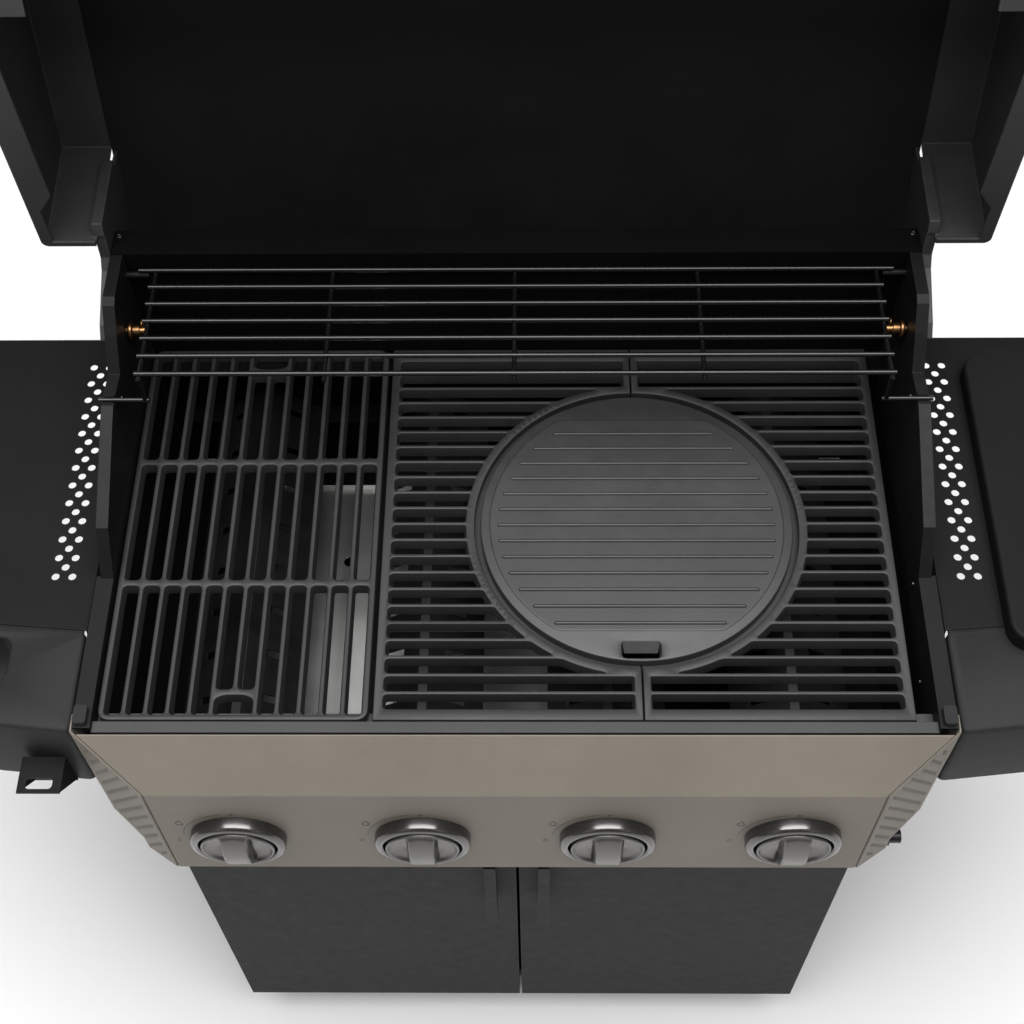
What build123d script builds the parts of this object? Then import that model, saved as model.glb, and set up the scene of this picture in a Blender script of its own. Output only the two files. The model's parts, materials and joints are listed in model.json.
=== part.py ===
from build123d import *
import os
from math import cos, pi, sin

# Four-burner gas barbecue on a wheeled cabinet, with its lid open.
# Millimetres, +Z up. X runs to the right, -Y is the front, and the origin is on
# the floor at the middle of the footprint.

# ---------------------------------------------------------------- driving sizes
COOK_Z = 900.0            # top of the cooking grates above the floor
COOK_Y = -32.13           # middle of the cooking surface, front to back
LID_OPEN = 105.0          # opening angle of the lid, degrees
PIN_Y, PIN_Z = 163.0, 93.0            # lid hinge axis, from the cooking surface
SHEET = 1.5               # steel sheet
GAP = 0.5                 # gap between pieces that come apart

WEB = 377.0               # inner face of the firebox side plates, from the centre
BOX_FRONT, BOX_BACK = -220.0, 213.0   # inner faces of the firebox end walls
BOX_FLOOR = -200.0        # top of the firebox floor
BACK_TOP = 147.0          # top of the firebox back wall
FLANGE_Z = 8.0            # top of the firebox front flanges

GRATE_TOP, GRATE_DEEP = 0.0, 12.0     # grate casting
GRATE_FRONT, GRATE_BACK = -208.4, 212.1
LEFT_GRATE = (-374.5, -131.0)         # left grate, from and to in X
RING_GRATES = (-126.5, 359.0)         # the two halves round the griddle
RING_X = 116.5            # centre of the griddle
GRIDDLE_R = 150.0
RING_R = 155.5            # hole for the griddle
RING_RIM = 10.0           # width of the cast ring round that hole
SLOT_PITCH_Y, SLOT_FIRST_Y, SLOT_COUNT_Y = 18.07, -197.2, 22
SLOT_WIDE_Y = 14.3
SLOT_PITCH_X, SLOT_FIRST_X, SLOT_COUNT_X = 19.73, -369.0, 12
SLOT_WIDE_X = 15.3

BURNERS_X = (-262.5, -87.5, 87.5, 262.5)
BURNER_Z, BURNER_D = -120.0, 25.0
TENT_HALF, TENT_RISE, TENT_Z = 56.0, 34.0, -96.0      # flame tamers: inverted V sheets
TENT_LEDGE = (TENT_Z - 3.5, TENT_Z - 1.8)             # ledges that carry them
FACE_Y = -262.0           # front face of the control panel
KNOB_Z = -141.5
BEZEL_R, BEZEL_HOLE_R, BEZEL_DEEP = 45.5, 36.5, 13.5
KNOB_R, KNOB_BACK, KNOB_FRONT, GRIP_FRONT = 35.0, 5.0, 15.0, 25.0     # depths from the panel face

SHELF_TOP = -6.0          # side shelf surface
SHELF_IN, SHELF_OUT = 398.0, 665.0
SHELF_BACK = 231.0
SEAM_IN, SEAM_OUT = -114.0, -92.0     # seam between steel top and plastic front
NOSE_IN, NOSE_OUT = -218.0, -190.0    # front edge of the plastic front
NOSE_DEEP = 108.0         # height of the plastic front

CABINET_HALF = 352.0
CABINET_FRONT, CABINET_BACK = -212.0, 200.0
CABINET_LOW = 95.0 - COOK_Z           # underside of the cabinet floor
CABINET_TOP = BOX_FLOOR - SHEET - GAP
WHEEL_R, WHEEL_WIDE, TRAIL = 37.5, 28.0, 24.0
CASTOR_X, CASTOR_Y = 300.0, 150.0
SIDE_BURNER = (563.0, 40.0)           # centre of the side burner
BUTTON_X, BUTTON_Y = 560.0, -203.0    # side burner knob: place and back plane

# Everything above is measured from the cooking surface; PLACE puts it on the floor.
PLACE = Location((0, COOK_Y, COOK_Z))
HINGE = Axis((0, PIN_Y, PIN_Z), (1, 0, 0))


# --------------------------------------------------------------------- helpers
def block(x, y, z):
    """Box from (low, high) pairs."""
    size = (x[1] - x[0], y[1] - y[0], z[1] - z[0])
    middle = ((x[0] + x[1]) / 2, (y[0] + y[1]) / 2, (z[0] + z[1]) / 2)
    return Pos(*middle) * Box(*size)


def rod(start, end, radius):
    """Round bar between two points."""
    path = Vector(*end) - Vector(*start)
    plane = Plane(origin=start, z_dir=path)
    return extrude(plane * Circle(radius), amount=path.length)


def side_plate(outline, x0, x1):
    """Outline in (y, z), from x0 to x1."""
    face = Plane.YZ.offset(x0) * outline
    return extrude(face, amount=x1 - x0)


def polygon(*points):
    return make_face(Polyline(*points, close=True))


def flat_plate(outline, z0, z1):
    """Outline in (x, y), from z0 to z1."""
    return extrude(Plane.XY.offset(z0) * outline, amount=z1 - z0)


def mirrored(shape):
    return mirror(shape, about=Plane.YZ)


def opened(shape):
    """Turn a piece of the closed lid into its open place."""
    return shape.rotate(HINGE, -LID_OPEN)


def save(name, *solids):
    """Write one node; several solids stay separate solids."""
    placed = [PLACE * body for shape in solids for body in shape.solids()]
    whole = placed[0] if len(placed) == 1 else Compound(children=placed)
    whole.label = name
    export_step(whole, f"parts/{name}.step")


# --------------------------------------------------------------------- firebox
SIDE_EDGE = [(BOX_FRONT, FLANGE_Z), (-67, FLANGE_Z), (-37, 50), (60, 92), (70, 96), (73, 96),
             (74, 91), (82, 91), (83, 96), (110, 92), (133, 122), (152, 143), (160, BACK_TOP),
             (BOX_BACK - 1.2, BACK_TOP)]
LIP, WIDE_LIP = 10.0, 16.0            # lip along the ramp, and along the front flange


def firebox_side():
    """Right side plate: web, rolled lip along its top edge, pin hole and rack stud."""
    foot = BOX_FLOOR - 2 * SHEET - 0.1
    rear, under_strip = BOX_BACK + SHEET, BACK_TOP - 2.2
    web = side_plate(polygon(*SIDE_EDGE, (SIDE_EDGE[-1][0], under_strip), (rear, under_strip), (rear, foot),
                             (BOX_FRONT, foot)), WEB, WEB + SHEET)
    ledge = block((WEB - 11, WEB + GAP), (BOX_FRONT, rear), (foot, foot + SHEET))
    start = web.bounding_box().max.X - GAP / 2
    top = [(y, z) for y, z in SIDE_EDGE[1:] if not 71 < y < 90]
    band = polygon(*top, *[(y + 0.6, z - 2) for y, z in reversed(top)])
    lip = side_plate(band, start, WEB + SHEET + LIP)
    flange = block((start, WEB + WIDE_LIP), (BOX_FRONT, -64), (FLANGE_Z - 2, FLANGE_Z))
    hole = rod((WEB - 5, PIN_Y, PIN_Z), (WEB + 5, PIN_Y, PIN_Z), 5.0)
    stud = rod((WEB - 22, 208, 123), (WEB + 1, 208, 123), 3.0)
    notch = block((WEB - 1, WEB + WIDE_LIP), (74, 82), (91, 100))
    shelf_block = [block((start, SHELF_IN - 0.3), (y, y + 30), (-60, -20)) for y in (-90, 150)]
    return web + ledge + lip + flange + shelf_block[0] + shelf_block[1] - hole - notch + stud


def firebox_front():
    """Front wall with its top rail and the ledge that carries the grates."""
    low = BOX_FRONT - SHEET
    wall = block((-WEB + 0.2, WEB - 0.2), (low, BOX_FRONT), (BOX_FLOOR, 2))
    rail = block((-WEB + 0.2, WEB - 0.2), (BOX_FRONT - SHEET, GRATE_FRONT - 2.5), (0.5, 2))
    ledge = block((-WEB + 0.2, WEB - 0.2), (BOX_FRONT - SHEET, BOX_FRONT + 24), (-15, -13))
    wall += block((-WEB + 20, WEB - 20), (BOX_FRONT - SHEET, BOX_FRONT + 24), TENT_LEDGE)
    for x in BURNERS_X:
        wall -= rod((x, low - 5, BURNER_Z), (x, BOX_FRONT + 5, BURNER_Z), BURNER_D / 2 + 1)
    return wall + rail + ledge


def firebox_back():
    """Back wall, its ledge for the grates and the strip along its top."""
    wall = block((-WEB + 0.2, WEB - 0.2), (BOX_BACK, BOX_BACK + SHEET), (BOX_FLOOR, BACK_TOP))
    ledge = block((-WEB + 0.2, WEB - 0.2), (BOX_BACK - 20, BOX_BACK + SHEET), (-15, -13))
    wall += block((-WEB + 20, WEB - 20), (BOX_BACK - 22, BOX_BACK + SHEET), TENT_LEDGE)
    strip = block((-WEB - 11, WEB + 11), (BOX_BACK, 243), (BACK_TOP - 2, BACK_TOP))
    lip = block((-WEB - 11, WEB + 11), (241.5, 243), (BACK_TOP - 10, BACK_TOP))
    return wall + ledge + strip + lip


TRAY_X, TRAY_Y = (-272.0, 62.0), (-150.0, 186.0)


def firebox_floor():
    """Floor pan with an opening over the grease tray."""
    pan = block((-WEB + 0.2, WEB - 0.2), (BOX_FRONT - SHEET, BOX_BACK), (BOX_FLOOR - SHEET, BOX_FLOOR - 0.1))
    hole = block((TRAY_X[0] + 8, TRAY_X[1] - 8), (TRAY_Y[0] + 8, TRAY_Y[1] - 8), (BOX_FLOOR - 5, BOX_FLOOR + 5))
    runner_z = (BOX_FLOOR - 26, BOX_FLOOR - SHEET)
    runners = []
    for x, out in ((TRAY_X[0] - 2.5, 1), (TRAY_X[1] + 2.5, -1)):
        wall = block(sorted((x, x - out * SHEET)), TRAY_Y, runner_z)
        foot = block(sorted((x - out * SHEET, x + out * 8)), TRAY_Y, (runner_z[0], runner_z[0] + SHEET))
        runners += [wall, foot]
    return pan - hole + runners


def grease_tray():
    """Shallow tray with a round drain and a front-to-back slope folded into its floor."""
    top, low = BOX_FLOOR - 3, BOX_FLOOR - 24
    outer = block(TRAY_X, TRAY_Y, (low, top))
    inner = block((TRAY_X[0] + 1, TRAY_X[1] - 1), (TRAY_Y[0] + 1, TRAY_Y[1] - 1), (low + 1, top + 1))
    drain = rod((-187, 90, low - 5), (-187, 90, low + 5), 6.0)
    grip = block((-160, -50), (TRAY_Y[1] - 0.5, TRAY_Y[1] + 22), (top - 9, top - 7))
    return outer - inner - drain + grip


def bumper(side):
    low = FLANGE_Z
    pad = block((WEB + 3, WEB + 15), (-218, -200), (low, FLANGE_Z + 6))
    pad = fillet(pad.edges().filter_by(Axis.Z), 3)
    return pad if side > 0 else mirrored(pad)


# --------------------------------------------------------------- burners and gas
def burner(x):
    """Straight tube burner with a flattened far end, ports along both flanks."""
    tube = rod((x, BOX_FRONT - 4, BURNER_Z), (x, 176, BURNER_Z), BURNER_D / 2)
    bore = rod((x, BOX_FRONT - 5, BURNER_Z), (x, 170, BURNER_Z), BURNER_D / 2 - 1.2)
    end = block((x - 11, x + 11), (174, BOX_BACK - 1), (BURNER_Z - 2, BURNER_Z + 2))
    foot = block((x - 10, x + 10), (BOX_BACK - 3, BOX_BACK - 0.2), (BURNER_Z - 20, BURNER_Z + 2))
    return tube - bore + end + foot


def flame_tamer(x):
    """Inverted V of steel over one burner, with a row of vents on each slope."""
    section = trace(Polyline((x - TENT_HALF, TENT_Z), (x - 4, TENT_Z + TENT_RISE), (x + 4, TENT_Z + TENT_RISE),
                             (x + TENT_HALF, TENT_Z)), 1.6)
    tent = extrude(Plane.XZ.offset(-(BOX_BACK - 6)) * section, amount=BOX_BACK - BOX_FRONT - 20)
    middle = TENT_Z + TENT_RISE / 2
    for y in range(-150, 190, 48):
        for side in (-1, 1):
            tent -= block(sorted((x + side * 20, x + side * 38)), (y - 4, y + 4), (middle - 12, middle + 14))
    return tent


MANIFOLD_Y, MANIFOLD_R = -234.0, 9.0
INLET_X, INLET_Y, INLET_Z = 361.0, -230.0, -222.0
PIPE_R, SPIGOT_R = 8.0, 7.0


def gas_inlet():
    """Pipe down from the right end of the gas rail to the hose spigot, which points to the right."""
    start = (336, MANIFOLD_Y, KNOB_Z + 22)
    top, low = [(INLET_X, INLET_Y, z) for z in (KNOB_Z + 22, INLET_Z)]
    end = (INLET_X + 22, INLET_Y, INLET_Z)
    collar = rod((INLET_X + 7, INLET_Y, INLET_Z), (INLET_X + 10, INLET_Y, INLET_Z), 9.5)
    elbows = Pos(*top) * Sphere(PIPE_R) + Pos(*low) * Sphere(PIPE_R)
    return rod(start, top, PIPE_R - 0.5) + rod(top, low, PIPE_R) + rod(low, end, SPIGOT_R) + collar + elbows


def gas_manifold():
    """Gas rail with a valve body behind each knob and the inlet at its left end."""
    rail = rod((-340, MANIFOLD_Y, KNOB_Z + 22), (340, MANIFOLD_Y, KNOB_Z + 22), MANIFOLD_R)
    for x in BURNERS_X:
        body = rod((x, MANIFOLD_Y - 20, KNOB_Z), (x, MANIFOLD_Y + 9, KNOB_Z), 11)
        neck = rod((x, MANIFOLD_Y, KNOB_Z), (x, MANIFOLD_Y, KNOB_Z + 22), 8)
        jet = rod((x, MANIFOLD_Y, BURNER_Z), (x, MANIFOLD_Y + 11.5, BURNER_Z), 5)
        well = rod((x, MANIFOLD_Y - 21, KNOB_Z), (x, MANIFOLD_Y - 2, KNOB_Z), BORE_R)
        rail = rail + body + neck + jet - well
    return rail + gas_inlet()


def side_valve():
    """Valve body behind the side burner knob and its pipe to the burner."""
    x = BUTTON_X
    body = rod((x, BUTTON_Y + 12, NOSE_MID), (x, BUTTON_Y + 40, NOSE_MID), 11)
    well = rod((x, BUTTON_Y + 10, NOSE_MID), (x, BUTTON_Y + 30, NOSE_MID), BORE_R)
    pipe = rod((x, BUTTON_Y + 39, NOSE_MID), (x, SIDE_BURNER[1] - 20, NOSE_MID), 6)
    return body - well + pipe


# --------------------------------------------------------------- control panel
PANEL_TOP, CREASE_Z, PANEL_LOW = 4.0, -47.0, -225.0
BAND_BACK = -226.0        # top edge of the sloping band
FACE_HALF, BAND_HALF = 337.0, 391.0
HEM_X, HEM_TOP = 394.7, 8.0           # strip beside the firebox that the wing ends in
CHAMFER = Plane(origin=(FACE_HALF, FACE_Y, 0), x_dir=(BAND_HALF - FACE_HALF, BAND_BACK - FACE_Y, 0),
                z_dir=(BAND_BACK - FACE_Y, FACE_HALF - BAND_HALF, 0))
WING_LONG = Vector(BAND_HALF - FACE_HALF, BAND_BACK - FACE_Y, 0).length
WING_LOW, WING_STEP = -164.0, 37.0    # foot of the wing's outer edge, and its narrow lower part


def control_panel():
    """One folded sheet: sloping band, upright face and a return along the bottom."""
    line = Polyline((BAND_BACK, PANEL_TOP - 12), (BAND_BACK, PANEL_TOP - 1), (FACE_Y + 0.8, CREASE_Z),
                    (FACE_Y + 0.8, PANEL_LOW + 1), (FACE_Y + 16, PANEL_LOW + 1))
    sheet = side_plate(trace(line, SHEET), -BAND_HALF, BAND_HALF)
    for side in (1, -1):
        inset = CHAMFER.z_dir * -(SHEET + 0.1)
        corner = polygon((FACE_HALF + inset.X - 3, FACE_Y + inset.Y - 2), (BAND_HALF + 2, FACE_Y - 2),
                         (BAND_HALF + 2, BAND_BACK + inset.Y + 2), (BAND_HALF + inset.X + 3, BAND_BACK + inset.Y + 2))
        cutter = flat_plate(corner, PANEL_LOW - 5, PANEL_TOP + 5)
        sheet -= cutter if side > 0 else mirrored(cutter)
    for x in BURNERS_X:
        sheet -= rod((x, FACE_Y - 5, KNOB_Z), (x, FACE_Y + 5, KNOB_Z), 7)
    return sheet


def panel_wing():
    """Right wing: an upright plate on the chamfer, carried back to the firebox."""
    outline = polygon((0, CREASE_Z), (WING_LONG, PANEL_TOP), (WING_LONG + 4.4, HEM_TOP), (WING_LONG + 1, WING_LOW),
                      (WING_STEP, -199), (WING_STEP, PANEL_LOW), (0, PANEL_LOW))
    plate = extrude(CHAMFER.offset(-SHEET) * outline, amount=SHEET)
    hem = block((HEM_X - SHEET, HEM_X), (BAND_BACK + 2.5, BAND_BACK + 20), (CREASE_Z, HEM_TOP))
    return plate + hem


def bezel(x, face, z):
    ring = rod((x, face - BEZEL_DEEP, z), (x, face, z), BEZEL_R)
    ring = chamfer(ring.edges().filter_by(GeomType.CIRCLE).sort_by(Axis.Y)[0], 3)
    return ring - rod((x, face - 30, z), (x, face + 1, z), BEZEL_HOLE_R)


STEM_R, BORE_R = 4.0, 4.05


def stem(x, face, z, tail):
    """Valve stem: a round rod with a collar that the return spring pushes against."""
    collar = rod((x, face + 2, z), (x, face + 4, z), 6)
    return rod((x, face - 17.8, z), (x, tail, z), STEM_R) + collar


def knob(x, face, z, size=1.0):
    """Round knob, nearly flush in its bezel, scooped on both sides of an arched grip."""
    body = rod((x, face - KNOB_FRONT, z), (x, face - KNOB_BACK, z), KNOB_R * size)
    half = 12 * size
    for side in (-1, 1):
        scoop_x = sorted((x + side * half, x + side * 27 * size))
        scoop = block(scoop_x, (face - 30, face - 9), (z - 24 * size, z + 24 * size))
        body -= fillet(scoop.edges().filter_by(Axis.Y), 5 * size)
    reach = 34 * size
    arch = make_face(ThreePointArc((face - KNOB_FRONT, z - reach), (face - GRIP_FRONT, z),
                                   (face - KNOB_FRONT, z + reach))
                     + Line((face - KNOB_FRONT, z + reach), (face - KNOB_FRONT, z - reach)))
    grip = side_plate(arch, x - half, x + half)
    core = block((x - half, x + half), (face - KNOB_FRONT - 0.1, face - 9), (z - 24 * size, z + 24 * size))
    return body + grip + core - rod((x, face - 18, z), (x, face, z), BORE_R)


# --------------------------------------------------------------------- the lid
LID_CORNERS, LID_BENDS = [(-233, 18.5), (-248, 205), (230, 240), (238, 176)], (95, 45)
LID_HALF = 396.0          # half length of the lid sheet
END_HALF = 448.0          # outer face of the lid end castings
RIM_FRONT, RIM_BACK = (-238.0, 9.0), (82.0, 116.7)
WIDE_RIM, NARROW_RIM, RIM_STEP = 26.0, 11.0, (50.0, 71.0)
WALL = 3.0                # casting wall


END_TOP, END_CORNER, END_BEND = (41.3, 231.0), (-253.2, 209.6), 100.0


def lid_shell():
    """Curved outer sheet of the lid, with a hole for the thermometer's stem."""
    sheet = side_plate(trace(FilletPolyline(*LID_CORNERS, radius=LID_BENDS), SHEET), -LID_HALF, LID_HALF)
    return sheet - rod((0, -300, DIAL_Z), (0, -150, DIAL_Z), 4.3)


def clear_of_lid(shape):
    """Trim a fitting where it meets the outside of the lid sheet."""
    line = FilletPolyline(*LID_CORNERS, radius=LID_BENDS)
    region = make_face(line + Line(line @ 1, line @ 0))
    return shape - side_plate(offset(region, SHEET / 2 + 0.1), -LID_HALF, LID_HALF)


def lid_end():
    """Right end casting, closed: a shallow dish open towards the lid, with its rim and hinge arm."""
    start = LID_HALF + 0.8
    roof = FilletPolyline(END_TOP, END_CORNER, RIM_FRONT, radius=END_BEND)
    outline = make_face(roof + Polyline(RIM_FRONT, RIM_BACK, END_TOP))
    body = side_plate(outline, start, END_HALF)
    rear = Vector(END_HALF, (RIM_BACK[0] + END_TOP[0]) / 2, (RIM_BACK[1] + END_TOP[1]) / 2)
    body = fillet(body.edges().sort_by_distance(rear)[0], 7)
    body -= side_plate(offset(outline, -WALL), start - 1, END_HALF - WALL)
    slope = Vector(RIM_BACK[0] - RIM_FRONT[0], RIM_BACK[1] - RIM_FRONT[1]).normalized()
    rim = Plane(origin=(0, *RIM_BACK), x_dir=(0, -slope.X, -slope.Y), z_dir=(0, -slope.Y, slope.X))
    narrow, wide = END_HALF - NARROW_RIM, END_HALF - WIDE_RIM
    mouth = polygon((6, start - 2), (6, narrow), (RIM_STEP[0], narrow), (RIM_STEP[1], wide), (330, wide),
                    (330, start - 2))
    body -= extrude(rim * mouth, amount=12, both=True)
    foot = block((WEB + 4, LID_HALF + 6), (-238.5, -196), (FLANGE_Z + 6.5, FLANGE_Z + 9.5))
    return body + foot


ARM = [(62, 124), (104, 131), (116, 125), (150, 84), (163, 76), (178, 84), (196, 118), (229, 168),
       (226, 182), (200, 204), (150, 218), (40, 222)]


def lid_arm():
    """Hinge arm of the right end casting, closed, with a lip along its lower edge."""
    inner = WEB + SHEET + LIP + 1.3
    plate = side_plate(polygon(*ARM), inner, inner + 3)
    band = polygon(*ARM[0:5], *[(y + 1.5, z + 2.5) for y, z in reversed(ARM[0:5])])
    lip = side_plate(band, inner, inner + 10)
    bore = rod((inner - 5, PIN_Y, PIN_Z), (inner + 20, PIN_Y, PIN_Z), 4.05)
    bridge = side_plate(polygon((62, 124), (76, 124), (52, 200), (38, 200)), inner, LID_HALF + 4)
    return plate + lip + bridge - bore


def handle():
    return rod((-330, -292, 62), (330, -292, 62), 13)


def handle_bracket(x):
    """Bracket with a ring round the handle tube."""
    ring = rod((x - 12, -292, 62), (x + 12, -292, 62), 16)
    bar = clear_of_lid(block((x - 10, x + 10), (-292, -235), (54, 70)))
    return bar + ring - rod((x - 20, -292, 62), (x + 20, -292, 62), 13.02)


DIAL_Z = 115.0


def thermometer():
    """Dial on the lid's front with its probe through the sheet."""
    dial = clear_of_lid(rod((0, -262, DIAL_Z), (0, -232, DIAL_Z), 30))
    return dial + rod((0, -255, DIAL_Z), (0, -200, DIAL_Z), 4)


def hinge_pin():
    """Right pin with its collar and the clip through its inner end; separate solids."""
    end = WEB + SHEET + LIP + 12
    pin = rod((WEB - 20, PIN_Y, PIN_Z), (end, PIN_Y, PIN_Z), 4.0)
    pin += rod((WEB - 5, PIN_Y, PIN_Z), (WEB - 2, PIN_Y, PIN_Z), 8.0)
    pin += rod((end - 4, PIN_Y, PIN_Z), (end, PIN_Y, PIN_Z), 7.0)
    hole = rod((WEB - 15, PIN_Y, PIN_Z - 9), (WEB - 15, PIN_Y, PIN_Z + 9), 1.3)
    clip = rod((WEB - 15, PIN_Y, PIN_Z - 12), (WEB - 15, PIN_Y, PIN_Z + 10), 1.1)
    return pin - hole, clip


# ------------------------------------------------------------- cooking surfaces
RACK_Z, RACK_FIRST_Y, RACK_PITCH, RACK_HALF, WIRE = 129.0, 82.0, 21.0, 348.0, 2.5


def warming_rack():
    """Seven long wires on five cross wires, with a foot at each front corner."""
    rows = [RACK_FIRST_Y + i * RACK_PITCH for i in range(7)]
    reach = RACK_HALF + 4
    last = rows[-1]
    wires = [rod((-reach, y, RACK_Z), (reach, y, RACK_Z), WIRE) for y in rows]
    wires.append(rod((-reach - 12, last, RACK_Z), (reach + 12, last, RACK_Z), WIRE))
    for x in (-RACK_HALF, -176, 0, 176, RACK_HALF):
        wires.append(rod((x, rows[0] - 7, RACK_Z - 3.3), (x, last + 4, RACK_Z - 3.3), WIRE * 0.9))
    for side in (-1, 1):
        x = side * RACK_HALF
        wires.append(rod((x, FOOT_Y, FOOT_Z - 1), (x, FOOT_Y, RACK_Z - 2), WIRE * 0.95))
        wires.append(rod((x - side * 4, FOOT_Y, FOOT_Z), (side * 392, FOOT_Y, FOOT_Z), WIRE))
    return wires[0].fuse(*wires[1:])


FOOT_Y, FOOT_Z = 81.0 - 3, 94.2


def left_grate():
    """Cast grate with three rows of front-to-back slots and a finger arch at each end."""
    x0, x1 = LEFT_GRATE
    plate = block((x0, x1), (GRATE_FRONT, GRATE_BACK), (-GRATE_DEEP, GRATE_TOP))
    plate = fillet(plate.edges().filter_by(Axis.Z), 10)
    for y0, y1 in ((-203, -69.5), (-63, 68.5), (75, 207)):
        for i in range(SLOT_COUNT_X):
            start = SLOT_FIRST_X + i * SLOT_PITCH_X
            plate -= block((start, start + SLOT_WIDE_X), (y0, y1), (-20, 5))
    arch = (SLOT_FIRST_X + 5 * SLOT_PITCH_X, SLOT_FIRST_X + 6 * SLOT_PITCH_X + SLOT_WIDE_X)
    for hole_y, bridge_y in (((-203, -184), (-184, -177)), ((187, 207), (180, 187))):
        plate += block(arch, bridge_y, (-GRATE_DEEP, GRATE_TOP))
        hole = block(arch, hole_y, (-20, 5))
        plate -= fillet(hole.edges().filter_by(Axis.Z), 7)
    return plate


def ring_grate(side):
    """Half of the ring grate: left-to-right slots that stop at a rim round the griddle."""
    x0, x1 = RING_GRATES
    seam = RING_X + side * 0.6
    x0, x1 = (x0, seam) if side < 0 else (seam, x1)
    plate = block((x0, x1), (GRATE_FRONT, GRATE_BACK), (-GRATE_DEEP, GRATE_TOP))
    for i in range(SLOT_COUNT_Y):
        start = SLOT_FIRST_Y + i * SLOT_PITCH_Y
        plate -= block((x0 + 9, x1 - 9), (start, start + SLOT_WIDE_Y), (-20, 5))
    half = block((x0, x1), (GRATE_FRONT, GRATE_BACK), (-20, 5))
    ring = rod((RING_X, 0, -GRATE_DEEP), (RING_X, 0, GRATE_TOP), RING_R + RING_RIM) & half
    hole = rod((RING_X, 0, -20), (RING_X, 0, 5), RING_R)
    ledge = rod((RING_X, 0, -GRATE_DEEP), (RING_X, 0, -GRATE_DEEP + 3), RING_R + 1) & half
    ledge -= rod((RING_X, 0, -20), (RING_X, 0, 5), RING_R - 9)
    ledge -= block((RING_X - 26, RING_X + 26), (-RING_R, 0), (-20, 5))
    return plate + ring - hole + ledge


def griddle():
    """Round ridged plate with a finger slot at the front, resting on the ring's ledge."""
    low = -GRATE_DEEP + 3.2
    plate = rod((RING_X, 0, low), (RING_X, 0, GRATE_TOP + 1), GRIDDLE_R)
    field = rod((RING_X, 0, GRATE_TOP), (RING_X, 0, GRATE_TOP + 5), 134)
    for i in range(13):
        y = 103.6 - i * 17.85
        plate += block((RING_X - 132, RING_X + 132), (y - 3, y + 3), (GRATE_TOP + 0.5, GRATE_TOP + 3)) & field
    return plate - block((RING_X - 18, RING_X + 18), (-145.5, -128), (-30, 10))


# ---------------------------------------------------------------- side shelves
NOSE_MID = SHELF_TOP - NOSE_DEEP / 2
HOLE_PITCH, HOLE_R, HOLE_FIRST = 20.9, 3.9, -56.0
SIDE_LID = ((453.0, 651.0), (-137.0, 197.0))


def shelf_top():
    """Right steel top: folded sheet with a strip of round holes along the firebox."""
    outline = polygon((SHELF_IN, SEAM_IN), (SHELF_OUT, SEAM_OUT), (SHELF_OUT, SHELF_BACK), (SHELF_IN, SHELF_BACK))
    top = flat_plate(outline, SHELF_TOP - SHEET, SHELF_TOP)
    skirt_z = (SHELF_TOP - 34, SHELF_TOP)
    top += block((SHELF_IN, SHELF_IN + SHEET), (SEAM_IN, SHELF_BACK), skirt_z)
    top += block((SHELF_OUT - SHEET, SHELF_OUT), (SEAM_OUT, SHELF_BACK), skirt_z)
    top += block((SHELF_IN, SHELF_OUT), (SHELF_BACK - SHEET, SHELF_BACK), skirt_z)
    for i in range(13):
        y = HOLE_FIRST + i * HOLE_PITCH
        spots = [(421, y), (437, y), (429, y + HOLE_PITCH / 2)]
        for x, at in spots[:2] if i == 12 else spots:
            top -= rod((x, at, SHELF_TOP - 8), (x, at, SHELF_TOP + 5), HOLE_R)
    return top


def burner_shelf():
    """Right steel top with a pressed well under the side burner."""
    x, y = SIDE_BURNER
    top = shelf_top()
    top -= rod((x, y, SHELF_TOP - 10), (x, y, SHELF_TOP + 5), 80)
    well = rod((x, y, SHELF_TOP - 30), (x, y, SHELF_TOP), 81.5) - rod((x, y, SHELF_TOP - 28.5), (x, y, 20), 80)
    return top + well - rod((x, y, -60), (x, y, 5), 22)


def nose_front(x):
    """Front face of the plastic front at x."""
    return NOSE_IN + (NOSE_OUT - 1 - NOSE_IN) * (x - SHELF_IN) / (SHELF_OUT - 20 - SHELF_IN)


def shelf_nose():
    """Right plastic front of a shelf: a hollow moulding with a tongue that slides under the steel top."""
    outline = polygon((SHELF_IN, SEAM_IN - GAP), (SHELF_OUT, SEAM_OUT - GAP), (SHELF_OUT, NOSE_OUT + 20),
                      (SHELF_OUT - 20, NOSE_OUT - 1), (SHELF_IN, NOSE_IN))
    body = flat_plate(outline, SHELF_TOP - NOSE_DEEP, SHELF_TOP)
    body -= flat_plate(offset(outline, -4), SHELF_TOP - NOSE_DEEP - 5, SHELF_TOP - 4)
    tongue = polygon((SHELF_IN + 3, SEAM_IN - 3), (SHELF_OUT - 3, SEAM_OUT - 3), (SHELF_OUT - 3, SEAM_OUT + 8),
                     (SHELF_IN + 3, SEAM_IN + 8))
    return body + flat_plate(tongue, SHELF_TOP - 4, SHELF_TOP - SHEET - 0.3)


def hand_hole():
    grip = block((468, 600), (-165, -122), (SHELF_TOP - NOSE_DEEP - 5, 10))
    return fillet(grip.edges().filter_by(Axis.Z), 12)


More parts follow.
